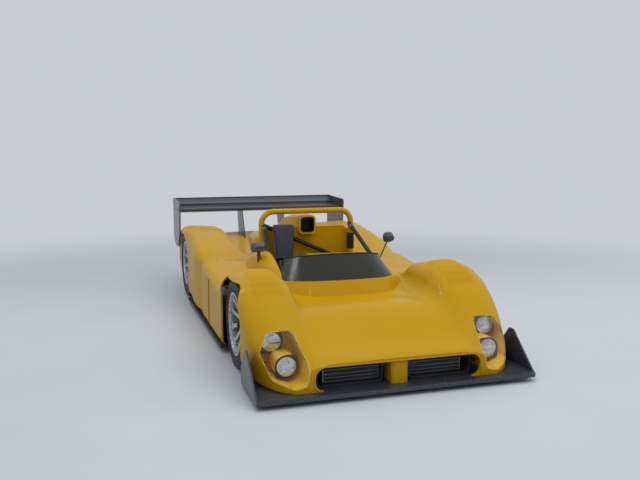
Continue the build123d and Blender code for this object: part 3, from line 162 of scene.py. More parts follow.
FLOOR_FADE = (3.2, 8.0)
floor_finish, tree, spot = new_finish("painted_concrete_floor")
tone, _ = clouded(tree, spot, 1.4, 5.0, ("#C3C8CE", "#CDD1D6"))
paint = add_node(tree, "ShaderNodeBsdfPrincipled", {}, {"Base Color": tone, "Roughness": 0.5})
reach = add_node(tree, "ShaderNodeVectorMath", {"operation": "LENGTH"}, {0: spot})
fade = add_node(tree, "ShaderNodeMapRange", {"interpolation_type": "SMOOTHSTEP"}, {
    "Value": reach.outputs["Value"], "From Min": FLOOR_FADE[0], "From Max": FLOOR_FADE[1]})
share = add_node(tree, "ShaderNodeMath", {"operation": "MULTIPLY"},
                 {0: fade.outputs[0], 1: backdrop_rays(tree)})
horizon = add_node(tree, "ShaderNodeEmission", {}, {"Color": linear(BACKDROP_COLOR), "Strength": 1.0})
mixed = add_node(tree, "ShaderNodeMixShader", {},
                 {0: share.outputs[0], 1: paint.outputs[0], 2: horizon.outputs[0]})
add_node(tree, "ShaderNodeOutputMaterial", {}, {"Surface": mixed.outputs[0]})
floor_mesh.materials.append(floor_finish)


# The body panels: glass-fibre and carbon skins in two-pack yellow paint under clear lacquer. The lacquer
# gives a sharp reflection over a softer one, and its spray leaves a shallow orange peel of about 6 mm. The
# stone chips on the nose are 1 to 3 mm across; they are drawn 5 to 7 mm across so that they still show.
def dress(finish, *names):
    """Gives CAD pieces a finish."""
    for name in names:
        nodes[name].data.materials.clear()
        nodes[name].data.materials.append(finish)


def shaded(tree, sockets):
    """Ends a finish with its shader and the output."""
    shader = add_node(tree, "ShaderNodeBsdfPrincipled", {}, sockets)
    add_node(tree, "ShaderNodeOutputMaterial", {}, {"Surface": shader.outputs[0]})


PEEL_WAVE = 0.006
CHIP_SPACING = 0.05
YELLOWS = ("#BB8F05", "#C4970A")
yellow_paint, tree, spot = new_finish("yellow_two_pack_paint")
tone, _ = clouded(tree, spot, 2.2, 4.0, YELLOWS)
chips = add_node(tree, "ShaderNodeTexVoronoi", {}, {"Vector": spot, "Scale": 1 / CHIP_SPACING})
chip = add_node(tree, "ShaderNodeMapRange", {}, {
    "Value": chips.outputs["Distance"], "From Min": 0.05, "From Max": 0.07, "To Min": 1.0, "To Max": 0.0})
place = add_node(tree, "ShaderNodeSeparateXYZ", {}, {"Vector": spot})
nose = add_node(tree, "ShaderNodeMapRange", {}, {
    "Value": place.outputs["Y"], "From Min": front_axle.y - 0.86, "From Max": front_axle.y - 0.5,
    "To Min": 0.7, "To Max": 0.0})
chipped = add_node(tree, "ShaderNodeMath", {"operation": "MULTIPLY"},
                   {0: chip.outputs[0], 1: nose.outputs[0]})
worn_tone = add_node(tree, "ShaderNodeMix", {"data_type": "RGBA"},
                     {0: chipped.outputs[0], 6: tone, 7: linear("#5E4A22")})
haze = add_node(tree, "ShaderNodeTexNoise", {}, {"Vector": spot, "Scale": 9.0, "Detail": 6.0})
dull = add_node(tree, "ShaderNodeMapRange", {}, {
    "Value": haze.outputs["Fac"], "From Min": 0.35, "From Max": 0.7, "To Min": 0.04, "To Max": 0.13})
peel = add_node(tree, "ShaderNodeTexNoise", {}, {"Vector": spot, "Scale": 1 / PEEL_WAVE, "Detail": 1.0})
relief = add_node(tree, "ShaderNodeBump", {},
                  {"Height": peel.outputs["Fac"], "Strength": 0.05, "Distance": 0.0004})
shaded(tree, {
    "Base Color": worn_tone.outputs[2], "Roughness": 0.42, "Specular IOR Level": 0.06, "Coat Weight": 0.22,
    "Coat Roughness": dull.outputs[0], "Coat Normal": relief.outputs[0]})
BODY_PANELS = ("front_clip", "cockpit_surround", "side_pods", "tail_clip", "engine_cover", "intake_scoop")
dress(yellow_paint, *BODY_PANELS, "tonneau", "roll_hoop")


# The back of every body panel: bare laminate, black and matt from its bag. A face is a back one when it
# doesn't look up and none of the lines drawn outward from it gets past the other panels. Where two panels
# overlap, only a face that looks down is a back one.
def grained(name, colors, grain, roughness, relief, sockets=()):
    """A finish whose tone, gloss and relief vary with a grain of that size, with sizes in metres."""
    finish, tree, spot = new_finish(name)
    tone, clouds = clouded(tree, spot, 1 / grain, 6.0, colors)
    gloss = add_node(tree, "ShaderNodeMapRange", {}, {
        "Value": clouds, "From Min": 0.3, "From Max": 0.7, "To Min": roughness[0], "To Max": roughness[1]})
    bump = add_node(tree, "ShaderNodeBump", {}, {"Height": clouds, "Distance": relief})
    shaded(tree, {
        "Base Color": tone, "Roughness": gloss.outputs[0], "Normal": bump.outputs[0], **dict(sockets)})
    return finish


bare_laminate = grained("bare_black_laminate", ("#121314", "#232427"), 0.012, (0.55, 0.8), 0.0006)
BACK_OFFSET = 0.003
LEAST_OUTWARD = 0.1
STEEPEST_BACK = 0.25
STEEPEST_UNDER = {"engine_cover": -0.1, "intake_scoop": -0.1}
SKY_LINES = [Vector((cos(turn) * cos(rise), sin(turn) * cos(rise), sin(rise)))
             for rise, count in ((0.2, 8), (0.95, 5), (pi / 2, 1))
             for turn in (2 * pi * step / count + 0.3 for step in range(count))]


def solid_tree(*names):
    """The surfaces of several CAD pieces, ready for lines to be cast at them."""
    points, faces = [], []
    for name in names:
        mesh = nodes[name].data
        faces += [[len(points) + corner for corner in face.vertices] for face in mesh.polygons]
        points += [vertex.co for vertex in mesh.vertices]
    return BVHTree.FromPolygons(points, faces)


panel_tree = solid_tree(*BODY_PANELS, "tonneau")
for name in BODY_PANELS:
    mesh = nodes[name].data
    mesh.materials.append(bare_laminate)
    for face in mesh.polygons:
        start = face.center + face.normal * BACK_OFFSET
        outward = [line for line in SKY_LINES if line.dot(face.normal) > LEAST_OUTWARD]
        shut_in = not any(panel_tree.ray_cast(start, line)[0] is None for line in outward)
        if shut_in and face.normal.z < STEEPEST_UNDER.get(name, STEEPEST_BACK):
            face.material_index = 1


# Quarter-turn fasteners: pressed steel studs, 19 mm across, sunk in a ring with a slot for a coin, along
# every joint that is opened in the pits. Each slot is drawn as a thin black plate on the stud, which is
# painted shade for its groove.
def on_car(x, y, z):
    """A point of the frame from its distances from the front axle's middle, over the floor."""
    return Vector((x, front_axle.y + y, z))


def skin(rings, capped=True, looped=False):
    """Points and faces of a skin stretched over rings that have as many points each."""
    count = len(rings[0])
    faces = []
    for row in range(len(rings) if looped else len(rings) - 1):
        low = row * count
        high = (row + 1) % len(rings) * count
        for step in range(count):
            after = (step + 1) % count
            faces.append((low + step, low + after, high + after, high + step))
    if capped and not looped:
        faces += [tuple(range(count)), tuple(range((len(rings) - 1) * count, len(rings) * count))]
    return [point for ring in rings for point in ring], faces


def ring_of(radius, steps):
    """The points of a circle, as pairs."""
    turns = [2 * pi * step / steps for step in range(steps)]
    return [(radius * cos(turn), radius * sin(turn)) for turn in turns]


def turned(profile, place, steps=32, looped=False):
    """A form turned about the place's own Z axis, or a ring when looped, from (radius, height) pairs."""
    return skin([[place @ Vector((x, y, height)) for x, y in ring_of(radius, steps)]
                 for radius, height in profile], looped=looped)


def plate(place, outline, heights):
    """A form with the same outline of (x, y) pairs at each of its heights over the place."""
    return skin([[place @ Vector((x, y, height)) for x, y in outline] for height in heights])


def piece(name, forms, finish, body="chassis"):
    """One visible piece made of several forms, riding on a body of the car."""
    points, faces = [], []
    for form_points, form_faces in forms:
        faces += [tuple(len(points) + corner for corner in face) for face in form_faces]
        points += form_points
    mesh = bpy.data.meshes.new(name)
    mesh.from_pydata(points, [], faces)
    work = bmesh.new()
    work.from_mesh(mesh)
    bmesh.ops.recalc_face_normals(work, faces=work.faces)
    work.to_mesh(mesh)
    work.free()
    mesh.shade_smooth()
    mesh.set_sharp_from_angle(angle=radians(35))
    mesh.materials.append(finish)
    made = bpy.data.objects.new(name, mesh)
    scene.collection.objects.link(made)
    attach(made, body)
    return made


def laid_on(tree, start, direction):
    """The spot where a line first meets a surface, and the way out of that surface."""
    spot, normal, _, _ = tree.ray_cast(start, direction)
    return spot, normal if normal is None or normal.dot(direction) < 0 else -normal


def facing(spot, normal):
    """A place at the spot whose own Z axis points along the normal."""
    return Matrix.Translation(spot) @ normal.to_track_quat("Z", "Y").to_matrix().to_4x4()


def line_on(tree, starts, direction, lift=0.0):
    """The spots and normals where lines from several starts first meet a surface."""
    found = [laid_on(tree, start, direction) for start in starts]
    found = [(spot + normal * lift, normal) for spot, normal in found if spot is not None]
    return [spot for spot, _ in found], [normal for _, normal in found]


DOWN = Vector((0, 0, -1))
STUD = [(0.0001, 0.0014), (0.0058, 0.0014), (0.0064, 0.0006), (0.0072, 0.0006), (0.0076, 0.0018),
        (0.0092, 0.0016), (0.0096, -0.001)]
STUD_SLOT_SHADE = [(-0.0048, -0.0008), (0.0048, -0.0008), (0.0048, 0.0008), (-0.0048, 0.0008)]
STUD_ROWS = [
    # first x and y, last x and y, studs a side
    ((0.620, 0.384), (0.930, 0.384), 4),
    ((0.530, 1.362), (0.930, 1.362), 5),
    ((0.400, 1.430), (0.245, 2.420), 5),
    ((0.545, 3.340), (0.880, 3.340), 3),
]
zinc = grained("zinc_plated_steel", ("#84868A", "#A2A4A8"), 0.004, (0.28, 0.45), 0.0002, {"Metallic": 1.0})
studs, slot_shades = [], []
for first, last, count in STUD_ROWS:
    for step in range(count):
        x, y = (start + step / (count - 1) * (end - start) for start, end in zip(first, last))
        starts = [on_car(side * x, y, 1.3) for side in (-1, 1)]
        for found in zip(*line_on(panel_tree, starts, DOWN)):
            place = facing(*found)
            studs.append(turned(STUD, place, 20))
            # Painted shade: a thin black plate on the stud stands for the shaded groove of the coin slot.
            slot_shades.append(plate(place, STUD_SLOT_SHADE, (0.001, 0.0017)))
piece("panel_studs", studs, zinc)
piece("stud_slot_shades", slot_shades, bare_laminate)

# Louvres over the front wheels, which let the air out of the arches: five blades a side, moulded in the
# same skin and painted with it, each with its mouth open to the rear. A strip of black laminate laid on
# the skin behind each blade is painted shade, standing for the dark inside the mouth.
LOUVRE_X = 0.750
LOUVRE_WIDTH = 0.236
LOUVRE_RISE = 0.016
MOUTH_SHADE_STRIP = [(-0.007, -0.001), (0.007, -0.001), (0.007, 0.0008), (-0.007, 0.0008)]
LOUVRE_ROWS = [-0.300 + 0.088 * step for step in range(5)]


def swept(path, section, ups, looped=False):
    """A section of (across, up) pairs swept along a path, with an up direction at each of its points."""
    rings = []
    for step, (point, up) in enumerate(zip(path, ups)):
        before = path[step - 1] if step or looped else point
        after = path[(step + 1) % len(path)] if step + 1 < len(path) or looped else point
        run = (after - before).normalized()
        across = run.cross(up).normalized()
        level = across.cross(run)
        rings.append([point + across * a + level * b for a, b in section])
    return skin(rings, looped=looped)


blades, mouth_shades = [], []
for side in (-1, 1):
    for row_y in LOUVRE_ROWS:
        rings = []
        for step in range(17):
            across = step / 16 - 0.5
            rise = LOUVRE_RISE * max(0.0, 1 - (2 * abs(across)) ** 6)
            ring = []
            for along, share in ((-0.032, 0.0), (-0.012, 0.35), (0.008, 0.8), (0.026, 1.0)):
                over = on_car(side * LOUVRE_X + across * LOUVRE_WIDTH, row_y + along, 1.2)
                spot, normal = laid_on(panel_tree, over, DOWN)
                ring.append(spot + normal * (share * rise + 0.0004))
            rings.append(ring + [point - Vector((0, 0, 0.0022)) for point in reversed(ring)])
        blades.append(skin(rings))
        starts = [on_car(side * LOUVRE_X + (step / 8 - 0.5) * LOUVRE_WIDTH * 0.92, row_y + 0.029, 1.2)
                  for step in range(9)]
        path, ups = line_on(panel_tree, starts, DOWN)
        # Painted shade: a black strip on the skin just behind the blade stands for the dark inside its
        # mouth.
        mouth_shades.append(swept(path, MOUTH_SHADE_STRIP, ups))
piece("fender_louvres", blades, yellow_paint)
piece("louvre_mouth_shades", mouth_shades, bare_laminate)

# Nose inlets: the edge of the skin is rolled over into a round lip 11 mm thick, and behind each opening
# stands a brazed light alloy core in a folded frame. Its fins are 2 mm apart; they are drawn 5.6 mm apart
# so that they still show.
REARWARD = Vector((0, 1, 0))
INLET_HALF = 0.590
INLET_TOP = 0.216
INLET_CORNER = 0.072
LIP_RADIUS = 0.0055
lip_starts = [(-INLET_HALF, 0.068), (-INLET_HALF, INLET_TOP - INLET_CORNER)]
lip_starts += [(-INLET_HALF + INLET_CORNER * (1 - cos(radians(turn))), INLET_TOP - INLET_CORNER
                + INLET_CORNER * sin(radians(turn))) for turn in range(10, 91, 10)]
lip_starts += [(-INLET_HALF + INLET_CORNER + step * (INLET_HALF - INLET_CORNER) / 12, INLET_TOP)
               for step in range(1, 13)]
lip_starts += [(-x, z) for x, z in reversed(lip_starts[:-1])]
path, ups = line_on(panel_tree, [on_car(x * 1.006, -1.2, z + 0.004) for x, z in lip_starts], REARWARD)
lip = swept(path, ring_of(LIP_RADIUS, 12), ups)
piece("inlet_lip", [lip], yellow_paint)


def bar(low, high):
    """A straight bar between two corners."""
    outline = [(low.x, low.y), (high.x, low.y), (high.x, high.y), (low.x, high.y)]
    return plate(Matrix(), outline, (low.z, high.z))


CORE_INNER_X = 0.108
CORE_OUTER_X = 0.500
CORE_Y = -0.742
CORE_LOW_Z = 0.074
CORE_HIGH_Z = 0.158
FIN_PITCH = 0.0056
core_alloy = grained("brazed_core_alloy", ("#7C8084", "#989B9E"), 0.006, (0.4, 0.6), 0.0003,
                     {"Metallic": 0.6})
fins = []
for side in (-1, 1):
    for step in range(int((CORE_OUTER_X - CORE_INNER_X) / FIN_PITCH)):
        x = side * (CORE_INNER_X + step * FIN_PITCH)
        fins.append(bar(on_car(x, CORE_Y, CORE_LOW_Z), on_car(x + 0.0009, CORE_Y + 0.03, CORE_HIGH_Z)))
    low_x, high_x = sorted((side * CORE_INNER_X, side * CORE_OUTER_X))
    for low_z in (CORE_LOW_Z, CORE_LOW_Z + 0.025, CORE_LOW_Z + 0.050, CORE_HIGH_Z - 0.004):
        fins.append(bar(on_car(low_x, CORE_Y - 0.002, low_z),
                        on_car(high_x, CORE_Y + 0.032, low_z + 0.004)))
    for end_x in (low_x, high_x):
        fins.append(bar(on_car(end_x - 0.004, CORE_Y - 0.003, CORE_LOW_Z),
                        on_car(end_x + 0.004, CORE_Y + 0.034, CORE_HIGH_Z)))
piece("inlet_cores", fins, core_alloy)

# Ducts behind the inlets: dark grey plastic sheet, vacuum-formed and bonded to the back of the nose. Grit
# from the road has scuffed it.
duct_sheet = grained("grey_duct_sheet", ("#2A2C2F", "#3B3D41"), 0.02, (0.5, 0.7), 0.0004)
dress(duct_sheet, "nose_ducts")

# Headlamps: two round lamps a side, each a plated bowl 130 mm across with its bulb under a pressed glass
# with upright flutes 8.5 mm wide. A leaf-shaped bezel of black nylon holds it on the yellow lamp box.
LAMP_SPOTS = [(0.800, -0.555, 0.325), (0.738, -0.715, 0.196)]
LAMP_GLASS = 0.066
BEZEL_HALF = 0.078
BEZEL_POINT = 1.22
BEZEL_WALL = Vector((0, 0.004, 0))
COVER_ROOM = 0.009
GLASS_CROWN = 0.007
FLUTE_WIDTH = 0.0085
BOWL = [(0.0650, -0.001), (0.0610, -0.004), (0.0500, -0.0105), (0.0360, -0.0165), (0.0180, -0.0195),
        (0.0100, -0.0200)]
BULB = [(0.0001, -0.001), (0.0085, -0.0018), (0.0115, -0.005), (0.0115, -0.010), (0.0070, -0.012),
        (0.0070, -0.016), (0.0150, -0.017), (0.0150, -0.0192)]
# The bowls' tone swings in clouds from dark grey to near white. This is painted reflection on plating that
# is bright all over.
chrome_with_painted_reflection = grained("plated_bowl_painted_reflection", ("#62686D", "#FAFAFB"), 0.024, (0.04, 0.14), 0.0001,
                 {"Metallic": 1.0})
bezel_plastic = grained("moulded_black_nylon", ("#0E0F10", "#1B1C1E"), 0.003, (0.35, 0.5), 0.0002)


def thin_glass(name, color, ior, edge_blend, shares, dirt_waves, dirt_detail, dulls):
    """A clear sheet that lets most light through, mirrors more at its edges and is dulled by dirt."""
    finish, tree, spot = new_finish(name)
    rim_light = add_node(tree, "ShaderNodeLayerWeight", {}, {"Blend": edge_blend})
    share = add_node(tree, "ShaderNodeMapRange", {}, {
        "Value": rim_light.outputs["Fresnel"], "To Min": shares[0], "To Max": shares[1]})
    dirt = add_node(tree, "ShaderNodeTexNoise", {}, {
        "Vector": spot, "Scale": dirt_waves, "Detail": dirt_detail})
    dull = add_node(tree, "ShaderNodeMapRange", {},
                    {"Value": dirt.outputs["Fac"], "To Min": dulls[0], "To Max": dulls[1]})
    shaded(tree, {
        "Base Color": linear(color), "Roughness": dull.outputs[0], "IOR": ior, "Alpha": share.outputs[0]})
    return finish


lamp_glass = thin_glass("pressed_lamp_glass", "#E9EEF0", 1.52, 0.4, (0.05, 0.35), 60.0, 2.0, (0.02, 0.08))
# The lamp boxes take a lighter yellow than the body. This is painted light, making up for the shade in
# their deep recesses.
lamp_box_lightened_paint = grained("lamp_box_yellow_painted_light", ("#E3B52A", "#EEC244"), 0.05, (0.3, 0.45), 0.0002)
dress(lamp_box_lightened_paint, "lamp_housings")
cover_tree = solid_tree("headlamp_covers")
bezels, bowls, bulbs, lenses = [], [], [], []
for side in (-1, 1):
    for lamp_x, lamp_y, lamp_z in LAMP_SPOTS:
        place = facing(on_car(side * lamp_x, lamp_y + 0.024, lamp_z), -REARWARD)
        place = place @ Matrix.Translation((0, 0, 0.024))
        outer, inner = [], []
        for dx, dz in ring_of(1.0, 60):
            reach = BEZEL_HALF
            if dx * dz < 0:
                reach = min(BEZEL_HALF / max(abs(dx), abs(dz)), BEZEL_HALF * BEZEL_POINT)
            point = on_car(side * (lamp_x + dx * reach), lamp_y - 0.0045, lamp_z + dz * reach)
            cover, _ = laid_on(cover_tree, point - REARWARD, REARWARD)
            if cover is not None:
                point.y = max(point.y, cover.y + COVER_ROOM)
            outer.append(point)
            inner.append(on_car(side * (lamp_x + dx * LAMP_GLASS), lamp_y - 0.002,
                                lamp_z + dz * LAMP_GLASS))
        backs = [[point + BEZEL_WALL for point in ring] for ring in (inner, outer)]
        bezels.append(skin([outer, inner, *backs], looped=True))
        bowls.append(turned(BOWL, place, 48))
        bulbs.append(turned(BULB, place, 20))
        rings = []
        for step in range(1, 17):
            radius = LAMP_GLASS * step / 16
            dome = GLASS_CROWN * (1 - (step / 16) ** 2)
            rings.append([place @ Vector((x, y, dome + 0.0007 * abs(sin(pi * x / FLUTE_WIDTH))))
                          for x, y in ring_of(radius, 64)])
        inward = place.to_3x3() @ Vector((0, 0, -0.003))
        lenses.append(skin(rings + [[point + inward for point in rings[-1]]]))
piece("lamp_bezels", bezels, bezel_plastic)
reflectors = piece("lamp_bowls", bowls, chrome_with_painted_reflection)
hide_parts("headlamps")
piece("lamp_bulbs", bulbs, bezel_plastic)
piece("lamp_lenses", lenses, lamp_glass)

# Lamp covers: 5 mm clear polycarbonate blown to the line of the fender, with a bead of pale sealant round
# the edge and fourteen countersunk screws. One dark-red reflector, 16 mm across, sits low in each recess.
LAMP_OUTLINE = [0.670 + 0.410j, 0.840 + 0.400j, 0.905 + 0.280j, 0.850 + 0.130j, 0.720 + 0.082j,
                0.640 + 0.100j, 0.620 + 0.230j]
LAMP_MIDDLE = 0.760 + 0.245j
OUTLINE_CORNER = 0.026
SCREW_INSET = 0.93
SEALANT_BEAD = [(-0.0022, -0.001), (0.0022, -0.001), (0.0014, 0.0012), (-0.0014, 0.0012)]
COVER_SCREW = [(0.0001, 0.0009), (0.0034, 0.0009), (0.0041, 0.0002), (0.0041, -0.001)]
RED_REFLECTOR = [(0.0001, 0.005), (0.005, 0.0045), (0.008, 0.0015), (0.008, 0.0)]


def rounded(points, corner, steps=6):
    """A closed outline of complex numbers, x and z, with each corner replaced by a short curve."""
    found = []
    for place, point in enumerate(points):
        first, last = [point + (other - point) * corner / abs(other - point)
                       for other in (points[place - 1], points[(place + 1) % len(points)])]
        for share in (step / steps for step in range(steps + 1)):
            found.append((1 - share) ** 2 * first + 2 * share * (1 - share) * point + share ** 2 * last)
    return found


def divided(points, longest):
    """A closed outline with points added along each of its runs, about that far apart."""
    found = []
    for start, end in zip(points, points[1:] + points[:1]):
        parts = max(1, int(abs(end - start) / longest))
        found += [start + (end - start) * step / parts for step in range(parts)]
    return found


def set_on(tree, starts, direction, profile, steps=18):
    """Turned forms that stand on a surface where lines from several starts first meet it."""
    return [turned(profile, facing(*found), steps) for found in zip(*line_on(tree, starts, direction))]


clear_cover = thin_glass("clear_blown_polycarbonate", "#EDE8D8", 1.58, 0.35, (0.010, 0.07), 25.0, 8.0,
                         (0.01, 0.09))
dress(clear_cover, "headlamp_covers")
sealant = grained("pale_silicone_bead", ("#D9B948", "#E4C968"), 0.003, (0.3, 0.45), 0.0002)
red_reflector = grained("moulded_red_acrylic", ("#5C0F0E", "#741513"), 0.002, (0.1, 0.2), 0.0001,
                        {"Coat Weight": 0.8})
lamp_tree = solid_tree("front_clip", "headlamp_covers")
housing_tree = solid_tree("lamp_housings")
beads, screws, reflectors = [], [], []
for side in (-1, 1):
    outline = divided(rounded(LAMP_OUTLINE, OUTLINE_CORNER), 0.012)
    starts = [on_car(side * point.real, -1.2, point.imag) for point in outline]
    path, ups = line_on(lamp_tree, starts, REARWARD)
    beads.append(swept(path, SEALANT_BEAD, ups, looped=True))
    inner = rounded([LAMP_MIDDLE + (point - LAMP_MIDDLE) * SCREW_INSET for point in LAMP_OUTLINE],
                    OUTLINE_CORNER, 1)
    starts = [on_car(side * point.real, -1.2, point.imag) for point in inner]
    screws += set_on(lamp_tree, starts, REARWARD, COVER_SCREW, 14)
    reflectors += set_on(housing_tree, [on_car(side * 0.820, -0.62, 0.159)], REARWARD, RED_REFLECTOR, 20)
piece("cover_beads", beads, sealant)
piece("cover_screws", screws, zinc)
piece("recess_reflectors", reflectors, red_reflector)

# Splitter: a flat board of carbon laminate under clear lacquer, dulled by dust. Its tows are 2 mm wide;
# they are drawn 13 mm wide, which is 18 mm along an edge of the board, so that they still show. The rear
# wing and the mirror pods are of the same laminate.
TOW_RUN = 0.018
carbon, tree, spot = new_finish("lacquered_carbon_twill")
diagonal = add_node(tree, "ShaderNodeVectorMath", {"operation": "DOT_PRODUCT"},
                    {0: spot, 1: [pi / TOW_RUN] * 3})
wave = add_node(tree, "ShaderNodeMath", {"operation": "SINE"}, {0: diagonal.outputs["Value"]})
twill = add_node(tree, "ShaderNodeMapRange", {},
                 {"Value": wave.outputs[0], "From Min": -0.4, "From Max": 0.4})
dust = add_node(tree, "ShaderNodeTexNoise", {}, {"Vector": spot, "Scale": 5.0, "Detail": 8.0})
tone = add_node(tree, "ShaderNodeMix", {"data_type": "RGBA"},
                {0: twill.outputs[0], 6: linear("#292C31"), 7: linear("#393D44")})
dusty = add_node(tree, "ShaderNodeMapRange", {}, {
    "Value": dust.outputs["Fac"], "From Min": 0.45, "From Max": 0.8, "To Max": 0.35})
worn_tone = add_node(tree, "ShaderNodeMix", {"data_type": "RGBA"},
                     {0: dusty.outputs[0], 6: tone.outputs[2], 7: linear("#4A5059")})
sheen = add_node(tree, "ShaderNodeMapRange", {},
                 {"Value": twill.outputs[0], "To Min": 0.46, "To Max": 0.34})
shaded(tree, {
    "Base Color": worn_tone.outputs[2], "Roughness": sheen.outputs[0], "Coat Weight": 0.4,
    "Coat Roughness": 0.18})
dress(carbon, "front_splitter", "wing_main", "wing_flap", "wing_endplates", "wing_pylons", "mirrors")

# Rubbing strip under the leading edge of the splitter, of grey nylon, and the cap screws that hold the
# board and its upright fences.
SPLITTER_HALF = 0.990
SPLITTER_FRONT = -0.953
nylon = grained("scraped_grey_nylon", ("#3C4046", "#5A5F66"), 0.01, (0.5, 0.7), 0.0008)
strip = bar(on_car(-SPLITTER_HALF + 0.05, SPLITTER_FRONT + 0.012, 0.026),
            on_car(SPLITTER_HALF - 0.05, SPLITTER_FRONT + 0.060, 0.0325))
piece("splitter_rubbing_strip", [strip], nylon)
CAP_SCREW = [(0.0022, 0.0024), (0.0024, 0.0048), (0.0048, 0.0048), (0.0052, 0.0040), (0.0052, 0.0008),
             (0.0085, 0.0008), (0.0085, -0.001)]
steel = grained("dull_steel", ("#6E7074", "#8F9195"), 0.01, (0.3, 0.5), 0.0003, {"Metallic": 1.0})
BOARD_SCREWS = (0.30, 0.62, 0.90)
FENCE_SCREWS = [(-0.84, 0.085), (-0.70, 0.085), (-0.56, 0.085), (-0.61, 0.240)]
splitter_tree = solid_tree("front_splitter")
caps = []
for side in (-1, 1):
    over = [on_car(side * x, SPLITTER_FRONT + 0.028, 0.5) for x in BOARD_SCREWS]
    caps += set_on(splitter_tree, over, DOWN, CAP_SCREW)
    beside = [on_car(side * 0.94, y, z) for y, z in FENCE_SCREWS]
    caps += set_on(splitter_tree, beside, Vector((side, 0, 0)), CAP_SCREW)
piece("splitter_screws", caps, steel)

# Windscreen: smoked polycarbonate, so dark that only the sheen on it shows, with a rubber bead on its top
# edge and small rivets with black caps along its foot.
smoked = grained("smoked_polycarbonate", ("#16150E", "#201E15"), 0.125, (0.14, 0.3), 0.0,
                 {"IOR": 1.58, "Alpha": 0.93})
dress(smoked, "windscreen")
rubber_trim = grained("extruded_black_rubber", ("#101112", "#1C1D1F"), 0.004, (0.5, 0.7), 0.0002)
SCREEN_TURNS = [radians(turn) for turn in range(-172, -7, 4)]
SCREEN_MIDDLE_Y = 0.62
SCREEN_FOOT_Z = 0.555
screen_tree = solid_tree("windscreen")
top_path, top_ups, foot_spots = [], [], []
for turn in SCREEN_TURNS:
    line = Vector((-cos(turn), -sin(turn), 0))
    starts = [on_car(0.9 * cos(turn), SCREEN_MIDDLE_Y + 0.9 * sin(turn), SCREEN_FOOT_Z + 0.003 * step)
              for step in range(70)]
    found = [hit for hit in zip(*line_on(screen_tree, starts, line)) if hit[1].dot(line) < -0.1]
    if len(found) > 4:
        top_path.append(found[-1][0] + Vector((0, 0, 0.002)))
        top_ups.append(found[-1][1])
        foot_spots.append(found[4])
piece("screen_edge_bead", [swept(top_path, ring_of(0.0042, 10), top_ups)], rubber_trim)
RIVET = [(0.0001, 0.0014), (0.0022, 0.0012), (0.0038, 0.0005), (0.0042, -0.0005)]
rivets = [turned(RIVET, facing(*found), 14) for found in foot_spots[1:-1]]
piece("screen_rivets", rivets, rubber_trim)

# Running gear and controls: welded tubes in stoved black enamel, cast magnesium for the front uprights,
# engine and gearbox, bare steel for the rods and driveshafts, and exhausts tinted by heat. The tub, seat,
# floor and dashboard are matt black laminate, and the rim of the steering wheel is suede.
black_enamel = grained("stoved_black_enamel", ("#0D0D0E", "#17181A"), 0.02, (0.3, 0.5), 0.0002)
magnesium = grained("cast_magnesium", ("#55575B", "#6E7075"), 0.006, (0.5, 0.7), 0.0006, {"Metallic": 0.8})
matt_laminate = grained("matt_black_laminate", ("#141517", "#26272A"), 0.03, (0.5, 0.7), 0.0006)
dress(matt_laminate, "floor_tray", "monocoque", "seat", "dashboard", "diffuser")
dress(black_enamel, "roll_braces", "front_wishbones", "rear_suspension")
dress(steel, "pedals", "steering_rack", "rear_left_driveshaft", "rear_right_driveshaft")
dress(magnesium, "engine_block", "gearbox", "front_left_upright", "front_right_upright")
suede = grained("grey_black_suede", ("#1A1A1B", "#2A2A2C"), 0.002, (0.8, 0.95), 0.0006,
                {"Sheen Weight": 0.4})
dress(suede, "steering_wheel")
bell_metal = grained("heat_blued_steel", ("#4A4038", "#7A6E66"), 0.05, (0.28, 0.5), 0.0004,
                     {"Metallic": 1.0})
dress(bell_metal, "exhausts")
red_lens = grained("moulded_tail_lens", ("#8A0705", "#A30F0B"), 0.002, (0.12, 0.24), 0.0002,
                   {"Specular IOR Level": 0.3, "Coat Weight": 0.2})
dress(red_lens, "tail_lamps")

# Face of the dashboard: one large dial, four small ones and a row of eleven plated toggle switches under
# them, each let through the laminate. The dials are printed white and carry plain marks and a black hand.
DRIVER_X = -0.240
MARK_TURNS = range(-120, 121, 30)
HAND_TURN = 110
DIAL_SPOTS = [(-0.240, 0.040), (-0.340, 0.028), (-0.395, 0.024), (-0.145, 0.024), (-0.090, 0.024)]
dash_tree = solid_tree("dashboard")
dial_face = grained("printed_white_dial", ("#D9D7CC", "#E8E6DC"), 0.004, (0.3, 0.4), 0.0001)
TOGGLE = [(0.006, -0.001), (0.006, 0.004), (0.0028, 0.005), (0.002, 0.010), (0.0034, 0.020),
          (0.0022, 0.023)]
TOGGLE_PITCH = 0.028
bezel_rings, faces, hands = [], [], []
for dial_x, radius in DIAL_SPOTS:
    spot, normal = laid_on(dash_tree, on_car(dial_x, 0.9, 0.500), -REARWARD)
    place = facing(spot, normal)
    section = [(radius, -0.002), (radius, 0.010), (radius - 0.002, 0.012), (radius - 0.004, 0.010),
               (radius - 0.004, 0.002)]
    bezel_rings.append(turned(section, place, 40, looped=True))
    faces.append(turned([(0.0001, 0.003), (radius - 0.004, 0.003), (radius - 0.004, 0.0)], place, 40))
    mark = [(-0.0006, radius - 0.010), (0.0006, radius - 0.010), (0.0006, radius - 0.006),
            (-0.0006, radius - 0.006)]
    for turn in MARK_TURNS:
        hands.append(plate(place @ Matrix.Rotation(radians(turn), 4, "Z"), mark, (0.003, 0.0036)))
    hand = [(-0.0012, -0.004), (0.0012, -0.004), (0.0005, radius - 0.008), (-0.0005, radius - 0.008)]
    hands.append(plate(place @ Matrix.Rotation(radians(HAND_TURN), 4, "Z"), hand, (0.0042, 0.0052)))
toggle_starts = [on_car(DRIVER_X + TOGGLE_PITCH * step, 0.9, 0.448) for step in range(-5, 6)]
toggles = set_on(dash_tree, toggle_starts, -REARWARD, TOGGLE, 14)
piece("dial_bezels", bezel_rings, black_enamel)
piece("dial_faces", faces, dial_face)
piece("dial_hands", hands, bare_laminate)
piece("dash_toggles", toggles, zinc)

